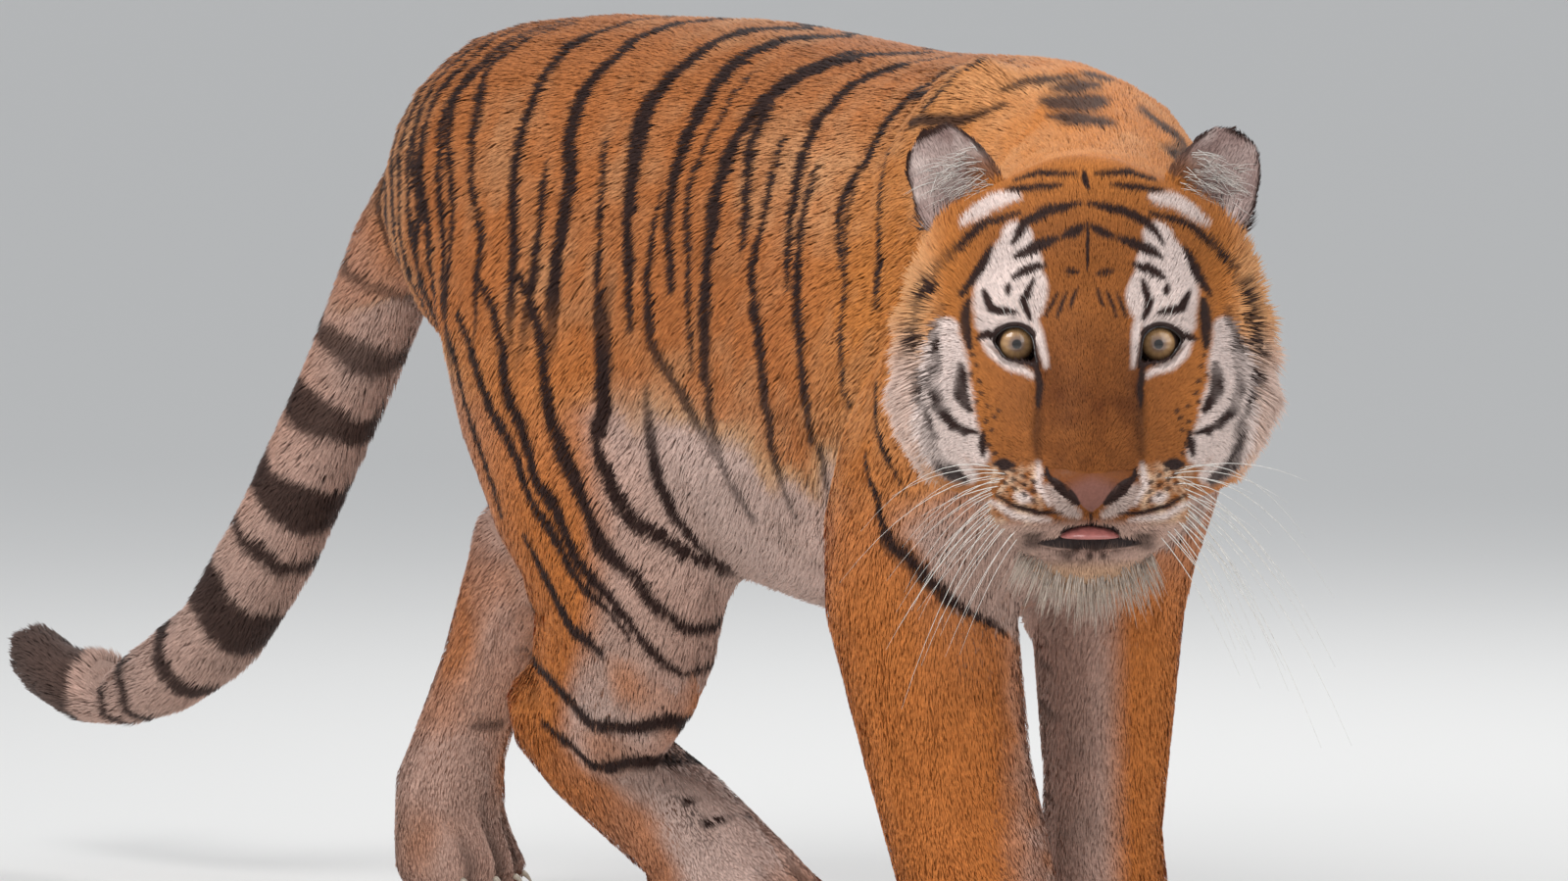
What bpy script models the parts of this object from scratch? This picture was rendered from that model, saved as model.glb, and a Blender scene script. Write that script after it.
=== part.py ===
"""A walking tiger as a still, life-size model: whole body, parted into named solids.

The body is built from lofted tubes and ellipsoids that stand for its main masses, fused into one
skin at the tips of the coat, cut flat under the paws, and parted by thin cuts into named parts.
Body frame while building: +X is the tiger's heading, +Y its left side, +Z up, the floor at z = 0.
At the end the model is moved so that the middle of its footprint is the origin.
"""
import math

import bmesh
import bpy
import numpy as np
from mathutils import Matrix, Vector

# ---------------------------------------------------------------- driving dimensions (metres)
WITHERS_HEIGHT = 0.915
LOIN_HEIGHT = 0.925
TRUNK_HALF_WIDTH = 0.195
BODY_BEND = 0.070            # how far the middle of the trunk swings to the left
BEND_CENTRE = -0.05          # where along X the trunk's curve is farthest left
BEND_REACH = 0.60            # half length of that curve

EYE_SPACING = 0.064          # half the distance between the pupils
EYE_RADIUS = 0.0215
HEAD_PLACE = Vector((0.990, -0.310, 0.666))   # the point midway between the pupils
HEAD_TURN = math.radians(-33.0)               # the face looks this far to the tiger's right

TAIL_ROOT_RADIUS = 0.060
TAIL_RADIUS = 0.051
TAIL_TIP_RADIUS = 0.034

EYE_DEPTH = -0.0205          # the eyeball's centre behind the line of the pupils
EAR_PLACE = (-0.122, 0.106, 0.106)            # middle of the left ear's base, from the pupils
EAR_SPLAY = math.radians(22.0)                # how far the ears open to the sides
EAR_LEAN = math.radians(-26.0)                # how far they lean outward
MOUTH_PLACE = (0.074, 0.0, -0.172)
MOUTH_SIZE = (0.044, 0.046, 0.009)
TONGUE_PLACE = (0.064, 0.0, -0.168)
TONGUE_SIZE = (0.026, 0.021, 0.006)
TONGUE_DROOP = math.radians(14)
GAP = 0.0003                 # between parts that meet
ARCH_FLARE = 0.05            # how much wider a leg's region is at its outer side

HEAD_CUT = ((0.800, -0.175, 0.670), (0.82, -0.57, 0.0))     # point and direction ahead
NECK_CUT = ((0.610, -0.030, 0.680), (0.95, -0.27, 0.14))
EAR_BLOCK = ((-0.046, -0.060, 0.024), (0.050, 0.060, 0.110))

TAIL_CUTS = (                # name, point and direction towards the tip
    ("tail_tip", (-1.180, -0.071, 0.193), (-1.0, 0.0, -0.1)),
    ("tail_middle", (-0.880, -0.052, 0.358), (-0.62, -0.06, -0.78)),
    ("tail_base", (-0.672, -0.018, 0.682), (-0.62, -0.13, -0.77)),
)
LEG_BLOCKS = (               # name, low corner, high corner
    ("paw_front_right", (0.30, -0.30, -0.05), (0.75, 0.005, 0.105)),
    ("paw_front_left", (0.20, 0.005, -0.05), (0.65, 0.30, 0.105)),
    ("paw_hind_right", (-0.34, -0.20, -0.05), (0.06, 0.30, 0.105)),
    ("paw_hind_left", (-0.86, -0.12, -0.05), (-0.52, 0.25, 0.130)),
    ("shank_right", (-0.46, -0.30, 0.05), (0.10, 0.30, 0.300)),
    ("shank_left", (-0.86, 0.005, 0.10), (-0.47, 0.30, 0.440)),
)
LEG_ARCHES = (               # name, low and high X, inner and outer Y, inner and outer top
    ("foreleg_right", 0.33, 0.60, 0.004, -0.30, 0.355, 0.98),
    ("foreleg_left", 0.28, 0.58, 0.005, 0.30, 0.355, 0.98),
    ("thigh_right", -0.44, -0.02, 0.045, -0.26, 0.350, 0.96),
    ("thigh_left", -0.60, -0.24, 0.050, 0.32, 0.380, 0.92),
)
FINISHES = {
    "coat": ((0.60, 0.27, 0.08), 0.80),
    "eye": ((0.50, 0.36, 0.10), 0.10),
    "tongue": ((0.55, 0.20, 0.18), 0.45),
    "tail": ((0.55, 0.45, 0.33), 0.85),
    "paw": ((0.62, 0.45, 0.28), 0.80),
}
VOXEL = 0.0050
FACE_BUDGET = 4850           # triangles in the fused body before it is parted
HEAD_FINENESS = 0.57         # how much the head and the paws keep, from 0 to 1
PAW_FINENESS = 0.42


# ---------------------------------------------------------------- small helpers
def clear_scene():
    for thing in list(bpy.data.objects):
        bpy.data.objects.remove(thing, do_unlink=True)


def principled(name, colour, roughness):
    material = bpy.data.materials.new(name)
    material.use_nodes = True
    shader = material.node_tree.nodes["Principled BSDF"]
    shader.inputs["Base Color"].default_value = (*colour, 1.0)
    shader.inputs["Roughness"].default_value = roughness
    shader.inputs["Metallic"].default_value = 0.0
    return material


def new_object(name, bm):
    mesh = bpy.data.meshes.new(name)
    bm.to_mesh(mesh)
    bm.free()
    thing = bpy.data.objects.new(name, mesh)
    bpy.context.scene.collection.objects.link(thing)
    return thing


def settle(thing):
    """Turn an object's modifiers into plain mesh."""
    graph = bpy.context.evaluated_depsgraph_get()
    graph.update()
    mesh = bpy.data.meshes.new_from_object(thing.evaluated_get(graph))
    old = thing.data
    thing.modifiers.clear()
    thing.data = mesh
    bpy.data.meshes.remove(old)
    return thing


def spine_side(x):
    """How far left of the straight axis the curved trunk lies at x."""
    return BODY_BEND * (1.0 - ((x - BEND_CENTRE) / BEND_REACH) ** 2)


def beside_spine(x, offset, z):
    """The point offset to the left of the trunk's curved middle line at x."""
    slope = -2.0 * BODY_BEND * (x - BEND_CENTRE) / BEND_REACH ** 2
    left = Vector((-slope, 1.0, 0.0)).normalized()
    return Vector((x, spine_side(x), z)) + left * offset


def ellipsoid(bm, centre, radii, turn=(0.0, 0.0, 0.0), frame=None):
    """An ellipsoid; turn is in degrees about X, Y and Z, frame the place it is built in."""
    spin = Matrix.LocRotScale(Vector(centre), None, None)
    for angle, axis in zip(turn, "XYZ"):
        spin = spin @ Matrix.Rotation(math.radians(angle), 4, axis)
    shape = spin @ Matrix.Diagonal((*radii, 1.0))
    if frame is not None:
        shape = frame @ shape
    bmesh.ops.create_icosphere(bm, subdivisions=3, radius=1.0, matrix=shape)


def spline(values, steps):
    """Catmull-Rom points through the rows of values, steps to each span."""
    rows = np.array(values, float)
    padded = np.vstack([2 * rows[0] - rows[1], rows, 2 * rows[-1] - rows[-2]])
    points = []
    for i in range(len(rows) - 1):
        a, b, c, d = padded[i:i + 4]
        for k in range(steps):
            t = k / steps
            points.append(0.5 * (2 * b + (c - a) * t + (2 * a - 5 * b + 4 * c - d) * t ** 2
                                 + (3 * b - a - 3 * c + d) * t ** 3))
    points.append(rows[-1])
    return points


def skin_rings(bm, rings):
    """Close a row of rings of points into a tube with capped ends."""
    loops = [[bm.verts.new(point) for point in ring] for ring in rings]
    count = len(loops[0])
    for near, far in zip(loops, loops[1:]):
        for k in range(count):
            after = (k + 1) % count
            bm.faces.new((near[k], near[after], far[after], far[k]))
    bm.faces.new(loops[0][::-1])
    bm.faces.new(loops[-1])


def tube(bm, rows, side=(0.0, 1.0, 0.0), sides=20, steps=4):
    """A limb: rows of x, y, z, radius across (along side) and radius fore and aft."""
    stations = spline(rows, steps)
    rings = []
    for i, row in enumerate(stations):
        ahead = stations[min(i + 1, len(stations) - 1)][:3]
        behind = stations[max(i - 1, 0)][:3]
        along = Vector(ahead - behind).normalized()
        across = Vector(side)
        across = (across - along * across.dot(along)).normalized()
        deep = along.cross(across)
        rings.append([Vector(row[:3]) + across * (row[3] * math.cos(a)) + deep * (row[4] * math.sin(a))
                      for a in (2 * math.pi * k / sides for k in range(sides))])
    skin_rings(bm, rings)


# ---------------------------------------------------------------- trunk and neck
def trunk_mass(bm):
    """Rows of x, back height, belly height, half width and how sharp the back is."""
    wide = TRUNK_HALF_WIDTH
    rows = (
        (-0.650, 0.800, 0.690, 0.060, 1.0),
        (-0.610, 0.862, 0.620, 0.105, 1.0),
        (-0.530, 0.907, 0.560, 0.150, 1.0),
        (-0.400, 0.924, 0.520, 0.176, 1.0),
        (-0.250, LOIN_HEIGHT, 0.450, wide - 0.008, 0.95),
        (-0.100, LOIN_HEIGHT, 0.385, wide, 0.95),
        (0.060, LOIN_HEIGHT - 0.012, 0.346, wide + 0.003, 1.0),
        (0.220, 0.898, 0.346, wide - 0.002, 1.1),
        (0.360, WITHERS_HEIGHT - 0.012, 0.370, wide - 0.016, 1.35),
        (0.480, WITHERS_HEIGHT - 0.012, 0.400, wide - 0.038, 1.45),
        (0.590, 0.858, 0.440, wide - 0.066, 1.30),
        (0.670, 0.790, 0.500, wide - 0.100, 1.0),
    )
    widest = 0.45            # height of the widest level, as a share of the trunk's depth
    sides = 32
    rings = []
    for x, top, bottom, half, crest in spline(rows, 3):
        middle = bottom + widest * (top - bottom)
        ring = []
        for k in range(sides):
            a = 2 * math.pi * k / sides
            across = math.copysign(abs(math.cos(a)) ** 0.86, math.cos(a)) * half
            if math.sin(a) > 0:
                lift = math.sin(a) ** crest * (top - middle)
            else:
                lift = -abs(math.sin(a)) ** 0.92 * (middle - bottom)
            ring.append(beside_spine(x, across, middle + lift))
        rings.append(ring)
    skin_rings(bm, rings)


def neck_mass(bm):
    """Rows of x, y, z, half width and half depth from the withers to the skull."""
    tube(bm, (
        (0.400, 0.020, 0.700, 0.140, 0.200),
        (0.520, -0.005, 0.700, 0.142, 0.200),
        (0.640, -0.060, 0.690, 0.138, 0.185),
        (0.740, -0.130, 0.680, 0.132, 0.168),
        (0.820, -0.190, 0.672, 0.128, 0.150),
        (0.890, -0.240, 0.665, 0.122, 0.130),
    ), side=(0.45, 0.89, 0.0))


# ---------------------------------------------------------------- legs
def limb(bm, side, rows, across=(0.0, 1.0, 0.0)):
    """A length of leg: rows of x, distance beside the spine, z, half width and half depth."""
    places = []
    for x, offset, z, wide, deep in rows:
        place = beside_spine(x, side * offset, z)
        places.append((*place, wide, deep))
    tube(bm, places, side=across)


def muscle(bm, side, place, radii, turn):
    """An ellipsoid beside the spine; turn is its pitch and then its yaw in degrees."""
    centre = beside_spine(place[0], side * place[1], place[2])
    ellipsoid(bm, centre, radii, (0.0, turn[0], side * turn[1]))


def paw(bm, heel, toe, width, height):
    """Pad, knuckles and four toes between the heel and toe points on the floor."""
    heel, toe = Vector((*heel, 0.0)), Vector((*toe, 0.0))
    along = (toe - heel).normalized()
    across = Vector((-along.y, along.x, 0.0))
    length = (toe - heel).length
    heading = math.degrees(math.atan2(along.y, along.x))
    middle = heel + along * (length * 0.44)
    ellipsoid(bm, (middle.x, middle.y, height * 0.44),
              (length * 0.47, width * 0.47, height * 0.58), (0, 0, heading))
    for place in (-1.5, -0.5, 0.5, 1.5):
        reach = 0.75 if abs(place) < 1 else 0.63
        centre = heel + along * (length * reach) + across * (place * width * 0.235)
        centre.z = height * 0.34
        ellipsoid(bm, centre, (length * 0.27, width * 0.150, height * 0.44),
                  (0, 10, heading + place * 4.0))


def forelegs(bm):
    # right: upright under the shoulder
    muscle(bm, -1, (0.450, 0.092, 0.728), (0.112, 0.062, 0.188), (16, -8))
    limb(bm, -1, (
        (0.590, 0.112, 0.640, 0.070, 0.110),
        (0.545, 0.130, 0.560, 0.076, 0.118),
        (0.470, 0.140, 0.480, 0.082, 0.120),
        (0.440, 0.143, 0.400, 0.084, 0.098),
    ))
    limb(bm, -1, (
        (0.452, 0.138, 0.480, 0.088, 0.112),
        (0.450, 0.138, 0.400, 0.092, 0.100),
        (0.455, 0.130, 0.320, 0.086, 0.088),
        (0.468, 0.116, 0.230, 0.079, 0.076),
        (0.485, 0.100, 0.150, 0.080, 0.071),
        (0.505, 0.088, 0.080, 0.077, 0.067),
        (0.520, 0.088, 0.040, 0.066, 0.060),
    ))
    paw(bm, (0.440, -0.086), (0.622, -0.106), 0.156, 0.092)
    # left: a little further back, its shoulder forward with the turn of the chest
    muscle(bm, 1, (0.470, 0.088, 0.672), (0.105, 0.054, 0.180), (14, -8))
    limb(bm, 1, (
        (0.580, 0.066, 0.640, 0.056, 0.100),
        (0.515, 0.074, 0.560, 0.062, 0.108),
        (0.425, 0.082, 0.480, 0.068, 0.108),
        (0.385, 0.084, 0.400, 0.072, 0.092),
    ))
    limb(bm, 1, (
        (0.400, 0.082, 0.480, 0.070, 0.104),
        (0.382, 0.084, 0.400, 0.072, 0.090),
        (0.384, 0.084, 0.320, 0.067, 0.077),
        (0.390, 0.080, 0.230, 0.061, 0.064),
        (0.398, 0.072, 0.150, 0.059, 0.058),
        (0.412, 0.070, 0.080, 0.062, 0.056),
        (0.425, 0.070, 0.040, 0.062, 0.056),
    ))
    paw(bm, (0.345, 0.102), (0.527, 0.084), 0.150, 0.092)


def hindlegs(bm):
    # right: set forward under the body, the foot flat and turned in
    muscle(bm, -1, (-0.395, 0.098, 0.700), (0.138, 0.078, 0.165), (-10, 8))
    limb(bm, -1, (
        (-0.385, 0.105, 0.700, 0.080, 0.155),
        (-0.310, 0.120, 0.590, 0.088, 0.172),
        (-0.240, 0.126, 0.490, 0.088, 0.172),
        (-0.208, 0.124, 0.410, 0.080, 0.164),
        (-0.216, 0.116, 0.340, 0.070, 0.152),
        (-0.254, 0.106, 0.280, 0.060, 0.124),
        (-0.296, 0.096, 0.238, 0.052, 0.094),
        (-0.325, 0.088, 0.212, 0.040, 0.060),
    ))
    muscle(bm, -1, (-0.050, 0.100, 0.455), (0.120, 0.040, 0.080), (-38, 0))
    tube(bm, (
        (-0.352, -0.056, 0.275, 0.030, 0.038),
        (-0.335, -0.046, 0.235, 0.050, 0.062),
        (-0.288, -0.018, 0.182, 0.053, 0.062),
        (-0.240, 0.026, 0.132, 0.054, 0.062),
        (-0.178, 0.052, 0.086, 0.056, 0.058),
        (-0.125, 0.074, 0.060, 0.050, 0.046),
    ), side=(-0.45, 0.89, 0.0))
    paw(bm, (-0.248, 0.016), (-0.055, 0.106), 0.140, 0.104)
    # left: pushing off behind, the heel high and the weight on the toes
    muscle(bm, 1, (-0.430, 0.092, 0.680), (0.145, 0.078, 0.185), (5, -8))
    limb(bm, 1, (
        (-0.430, 0.088, 0.700, 0.078, 0.150),
        (-0.400, 0.100, 0.590, 0.084, 0.155),
        (-0.390, 0.108, 0.480, 0.078, 0.130),
        (-0.440, 0.108, 0.405, 0.068, 0.096),
        (-0.530, 0.106, 0.368, 0.056, 0.068),
        (-0.620, 0.104, 0.345, 0.048, 0.056),
    ))
    tube(bm, (
        (-0.706, 0.112, 0.404, 0.030, 0.032),
        (-0.668, 0.108, 0.355, 0.046, 0.054),
        (-0.688, 0.094, 0.265, 0.045, 0.050),
        (-0.708, 0.076, 0.185, 0.048, 0.050),
        (-0.722, 0.062, 0.120, 0.058, 0.056),
        (-0.712, 0.064, 0.060, 0.062, 0.054),
    ))
    paw(bm, (-0.768, 0.042), (-0.640, 0.086), 0.134, 0.100)


# ---------------------------------------------------------------- tail
def tail_mass(bm):
    """Rows of x, y, z from the croup to the tip; the radius narrows along them."""
    route = (
        (-0.540, 0.010, 0.800),
        (-0.622, -0.008, 0.745),
        (-0.692, -0.022, 0.655),
        (-0.740, -0.034, 0.562),
        (-0.798, -0.042, 0.472),
        (-0.854, -0.050, 0.392),
        (-0.908, -0.056, 0.324),
        (-0.972, -0.062, 0.262),
        (-1.050, -0.066, 0.222),
        (-1.132, -0.070, 0.200),
        (-1.218, -0.072, 0.190),
        (-1.285, -0.074, 0.200),
        (-1.335, -0.075, 0.226),
        (-1.356, -0.076, 0.242),
    )
    rows = []
    for i, (x, y, z) in enumerate(route):
        share = i / (len(route) - 1)
        radius = TAIL_RADIUS + (TAIL_TIP_RADIUS - TAIL_RADIUS) * max(0.0, share - 0.45) / 0.55
        if i < 3:
            radius = TAIL_ROOT_RADIUS + (TAIL_RADIUS - TAIL_ROOT_RADIUS) * i / 3
        if i == len(route) - 1:
            radius *= 0.65
        rows.append((x, y, z, radius, radius))
    tube(bm, rows, sides=18)


# ---------------------------------------------------------------- head
def head_frame():
    """Head coordinates: X ahead of the pupils, Y to the tiger's left, Z up."""
    return Matrix.Translation(HEAD_PLACE) @ Matrix.Rotation(HEAD_TURN, 4, "Z")


# Each mass: centre, radii, turn about X, Y and Z in degrees, and how softly it melts in.
HEAD_MIDDLE = (
    ((-0.118, 0, 0.036), (0.100, 0.118, 0.130), (0, 0, 0), 0.030),      # cranium
    ((-0.058, 0, 0.036), (0.052, 0.082, 0.066), (0, 30, 0), 0.040),     # forehead
    ((-0.034, 0, -0.072), (0.067, 0.110, 0.090), (0, 10, 0), 0.045),    # middle of the face
    ((0.034, 0, -0.044), (0.104, 0.045, 0.042), (0, 46, 0), 0.034),     # bridge of the nose
    ((0.030, 0, -0.122), (0.080, 0.076, 0.062), (0, 8, 0), 0.040),      # muzzle
    ((0.098, 0, -0.126), (0.024, 0.042, 0.028), (0, 20, 0), 0.014),     # nose
    ((0.044, 0, -0.192), (0.042, 0.050, 0.032), (0, -6, 0), 0.020),     # chin
    ((-0.020, 0, -0.150), (0.090, 0.072, 0.052), (0, 0, 0), 0.040),     # jaw
    ((-0.145, 0, -0.066), (0.085, 0.124, 0.104), (0, 0, 0), 0.040),     # throat
)
HEAD_PAIRS = (
    ((-0.008, 0.050, -0.086), (0.060, 0.042, 0.048), (0, 20, 0), 0.038),    # beside the nose
    ((-0.048, 0.080, -0.044), (0.048, 0.044, 0.056), (0, 0, 0), 0.050),     # cheekbones
    ((-0.036, 0.050, 0.034), (0.032, 0.044, 0.024), (-10, 24, -18), 0.034),   # brows
    ((0.062, 0.044, -0.144), (0.048, 0.047, 0.038), (6, 0, 14), 0.022),     # whisker pads
    ((-0.072, 0.076, -0.084), (0.060, 0.052, 0.052), (0, 0, 0), 0.050),     # jaw muscles
    ((-0.122, 0.096, -0.004), (0.058, 0.074, 0.122), (6, 0, 0), 0.055),     # ruff
    ((-0.108, 0.098, -0.066), (0.056, 0.064, 0.060), (24, 0, 0), 0.040),    # ruff below
)
HEAD_HOLLOWS = (
    ((0.014, 0.064, -0.002), (0.020, 0.028, 0.017), (6, 0, -20), 0.014),    # eye sockets
)


def mirrored(masses):
    """The masses and their mirror images across the head's middle."""
    both = []
    for (x, y, z), radii, (rx, ry, rz), soft in masses:
        both.append(((x, y, z), radii, (rx, ry, rz), soft))
        both.append(((x, -y, z), radii, (-rx, ry, -rz), soft))
    return both


def turned(turn):
    spin = Matrix.Identity(3)
    for angle, axis in zip(turn, "XYZ"):
        spin = spin @ Matrix.Rotation(math.radians(angle), 3, axis)
    return spin


def outside(points, mass):
    """About how far each point is outside an ellipsoid, negative within it."""
    centre, radii, turn, _ = mass
    local = (points - np.array(centre)) @ np.array(turned(turn))
    radii = np.array(radii)
    near = np.linalg.norm(local / radii, axis=1) + 1e-9
    slope = np.linalg.norm(local / radii ** 2, axis=1) + 1e-9
    return near * (near - 1.0) / slope


def melt(a, b, soft):
    """The smaller of two distances, rounded where they are nearly equal."""
    near = np.maximum(soft - np.abs(a - b), 0.0) / soft
    return np.minimum(a, b) - near * near * soft * 0.25


def head_shape(points):
    masses = list(HEAD_MIDDLE) + mirrored(HEAD_PAIRS)
    total = outside(points, masses[0])
    for mass in masses[1:]:
        total = melt(total, outside(points, mass), mass[3])
    for hollow in mirrored(HEAD_HOLLOWS):
        total = -melt(-total, outside(points, hollow), hollow[3])
    return total


def settle_on(thing, shape, rounds=6):
    """Slide every vertex to where the shape's distance is zero."""
    mesh = thing.data
    points = np.empty(len(mesh.vertices) * 3)
    mesh.vertices.foreach_get("co", points)
    points = points.reshape(-1, 3)
    step = 0.0005
    for _ in range(rounds):
        here = shape(points)
        slope = np.stack([(shape(points + axis * step) - here) / step for axis in np.eye(3)], axis=1)
        size = np.maximum((slope ** 2).sum(axis=1), 0.2)
        move = slope * (here / size)[:, None]
        reach = np.linalg.norm(move, axis=1)
        points -= move * np.minimum(1.0, 0.006 / np.maximum(reach, 1e-9))[:, None]
    mesh.vertices.foreach_set("co", points.ravel())
    mesh.update()


def head_masses(bm):
    for centre, radii, turn, _ in list(HEAD_MIDDLE) + mirrored(HEAD_PAIRS):
        ellipsoid(bm, centre, radii, turn)


def melted_head():
    head = fuse("melted_head", (head_masses,), 8, VOXEL * 0.8)
    settle_on(head, head_shape)
    head.data.transform(head_frame())
    return head


def ear_frame(side):
    """Ear coordinates: X out of the hollow, Z up the ear, at the middle of its base."""
    x, y, z = EAR_PLACE
    place = head_frame() @ Matrix.Translation((x, side * y, z))
    place = place @ Matrix.Rotation(side * EAR_SPLAY, 4, "Z")
    return place @ Matrix.Rotation(side * EAR_LEAN, 4, "X")


def ear_mass(bm, side):
    """A cupped leaf: rings of a half pipe that narrows to a round tip."""
    place = ear_frame(side)
    rows = (
        (-0.030, 0.042, 0.030),
        (0.010, 0.046, 0.030),
        (0.040, 0.046, 0.026),
        (0.064, 0.040, 0.020),
        (0.082, 0.029, 0.014),
        (0.094, 0.015, 0.009),
    )
    rings = []
    for height, half, deep in spline(rows, 3):
        rings.append([place @ Vector((ear_wall(a, deep), half * math.cos(a), height))
                      for a in (2 * math.pi * k / 24 for k in range(24))])
    skin_rings(bm, rings)


def ear_wall(angle, deep):
    """Depth of the ear's wall: round behind, pressed in to a hollow in front."""
    if math.sin(angle) < 0:
        return deep * math.sin(angle)
    return deep * (0.25 * math.sin(angle) - 0.75 * math.sin(angle) ** 3)


def both_ears(bm):
    ear_mass(bm, 1)
    ear_mass(bm, -1)


# ---------------------------------------------------------------- fusing and cutting
def fuse(name, masses, passes, grain=VOXEL):
    """One closed skin over the given masses, smoothed."""
    bm = bmesh.new()
    for mass in masses:
        if callable(mass):
            mass(bm)
        else:
            bm.from_mesh(mass.data)
    bmesh.ops.recalc_face_normals(bm, faces=bm.faces)
    fused = new_object(name, bm)
    remesh = fused.modifiers.new("fuse", "REMESH")
    remesh.mode = "VOXEL"
    remesh.voxel_size = grain
    smooth = fused.modifiers.new("smooth", "SMOOTH")
    smooth.factor = 0.5
    smooth.iterations = passes
    return settle(fused)


def thin_out(body):
    """Fewer, larger faces: finest on the head and ears, then the paws, coarse on the trunk."""
    fine = body.vertex_groups.new(name="fine")
    to_head = head_frame().inverted()
    for vertex in body.data.vertices:
        place = to_head @ vertex.co
        weight = 0.0
        if place.x > -0.19 and place.length < 0.30:
            weight = HEAD_FINENESS
        elif vertex.co.z < 0.11:
            weight = PAW_FINENESS
        fine.add([vertex.index], weight, "REPLACE")
    thin = body.modifiers.new("thin", "DECIMATE")
    thin.ratio = FACE_BUDGET / sum(len(face.vertices) - 2 for face in body.data.polygons)
    thin.vertex_group = "fine"
    thin.invert_vertex_group = True
    return settle(body)


def block(name, low, high, frame=None, grow=0.0):
    """A box between two corners, in the given frame, as a cutter."""
    bm = bmesh.new()
    low = Vector(low) - Vector((grow, grow, grow))
    high = Vector(high) + Vector((grow, grow, grow))
    shape = Matrix.Translation((low + high) / 2) @ Matrix.Diagonal((*(high - low), 1.0))
    bmesh.ops.create_cube(bm, size=1.0, matrix=shape if frame is None else frame @ shape)
    return cutter(name, bm)


def cutter(name, bm):
    tool = new_object(name, bm)
    tool.hide_render = True
    tool.display_type = "WIRE"
    return tool


def boolean(thing, tool, operation):
    cut = thing.modifiers.new("cut", "BOOLEAN")
    cut.operation = operation
    cut.solver = "EXACT"
    cut.object = tool
    settle(thing)
    bpy.data.objects.remove(tool, do_unlink=True)
    return thing


def part_off(body, name, make_tool, *shape):
    """Split off what lies in a region as its own object, with a thin gap to the rest."""
    piece = bpy.data.objects.new(name, body.data.copy())
    bpy.context.scene.collection.objects.link(piece)
    boolean(piece, make_tool("region", *shape), "INTERSECT")
    boolean(body, make_tool("region", *shape, grow=GAP), "DIFFERENCE")
    return piece


def slanted_arch(name, low_x, high_x, inner_y, outer_y, inner_top, outer_top, grow=0.0):
    """A leg's region: an arch that rises and widens from the body's middle outward."""
    floor = -0.05 - grow
    outward = math.copysign(1.0, outer_y - inner_y)
    bm = bmesh.new()
    for y, top, widen in ((inner_y - outward * grow, inner_top, 0.0), (outer_y, outer_top, ARCH_FLARE)):
        low, high = low_x - widen - grow, high_x + widen + grow
        half = (high - low) / 2
        rise = min(half, (top - floor) * 0.45)
        bm.verts.new((low, y, floor))
        bm.verts.new((high, y, floor))
        for k in range(9):
            a = math.pi * k / 8
            bm.verts.new(((low + high) / 2 + half * math.cos(a), y, top + grow - rise + rise * math.sin(a)))
    hull = bmesh.ops.convex_hull(bm, input=bm.verts)
    spare = hull["geom_interior"] + hull["geom_unused"]
    spare = [item for item in spare if isinstance(item, bmesh.types.BMVert)]
    bmesh.ops.delete(bm, geom=spare, context="VERTS")
    bmesh.ops.recalc_face_normals(bm, faces=bm.faces)
    return cutter(name, bm)


def aimed(point, direction):
    """A frame whose X axis points along the direction."""
    along = Vector(direction).normalized()
    side = Vector((0.0, 0.0, 1.0)).cross(along).normalized()
    up = along.cross(side)
    frame = Matrix((along, side, up)).transposed().to_4x4()
    frame.translation = Vector(point)
    return frame


# ---------------------------------------------------------------- main
def paint(thing, colour, roughness):
    thing.data.materials.clear()
    thing.data.materials.append(principled(thing.name + "_finish", colour, roughness))
    thing.data.shade_smooth()
    thing.data.set_sharp_from_angle(angle=math.radians(40))


def eyeball(side):
    bm = bmesh.new()
    bmesh.ops.create_icosphere(bm, subdivisions=3, radius=EYE_RADIUS, matrix=eye_place(side))
    return new_object("eye_" + ("left" if side > 0 else "right"), bm)


def eye_place(side):
    return head_frame() @ Matrix.Translation((EYE_DEPTH, side * EYE_SPACING, 0.0))


def ball(name, frame, radii, grow=0.0):
    bm = bmesh.new()
    ellipsoid(bm, (0, 0, 0), tuple(r + grow for r in radii), frame=frame)
    return cutter(name, bm)


def tongue_place():
    return head_frame() @ Matrix.Translation(TONGUE_PLACE) @ Matrix.Rotation(TONGUE_DROOP, 4, "Y")


def cut_head(body, parts):
    head = part_off(body, "head", block, (0.0, -0.35, -0.30), (0.60, 0.35, 0.40), aimed(*HEAD_CUT))
    for side in (1, -1):
        word = "left" if side > 0 else "right"
        boolean(head, ball("socket", eye_place(side), (EYE_RADIUS,) * 3, GAP), "DIFFERENCE")
        parts["eye_" + word] = eyeball(side)
        parts["ear_" + word] = part_off(head, "ear_" + word, block, *EAR_BLOCK, ear_frame(side))
    mouth = head_frame() @ Matrix.Translation(MOUTH_PLACE)
    boolean(head, ball("mouth", mouth, MOUTH_SIZE), "DIFFERENCE")
    boolean(head, ball("tongue_seat", tongue_place(), TONGUE_SIZE, GAP), "DIFFERENCE")
    tongue = bmesh.new()
    shape = tongue_place() @ Matrix.Diagonal((*TONGUE_SIZE, 1.0))
    bmesh.ops.create_icosphere(tongue, subdivisions=2, radius=1.0, matrix=shape)
    parts["tongue"] = new_object("tongue", tongue)
    parts["head"] = head


def cut_tail(body, parts):
    """Three lengths, cut square to the tail."""
    for name, point, direction in TAIL_CUTS:
        end = aimed(point, direction)
        parts[name] = part_off(body, name, block, (0.0, -0.12, -0.12), (0.80, 0.12, 0.12), end)


def cut_legs(body, parts):
    for name, low, high in LEG_BLOCKS:
        parts[name] = part_off(body, name, block, low, high)
    for name, *shape in LEG_ARCHES:
        parts[name] = part_off(body, name, slanted_arch, *shape)


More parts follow.
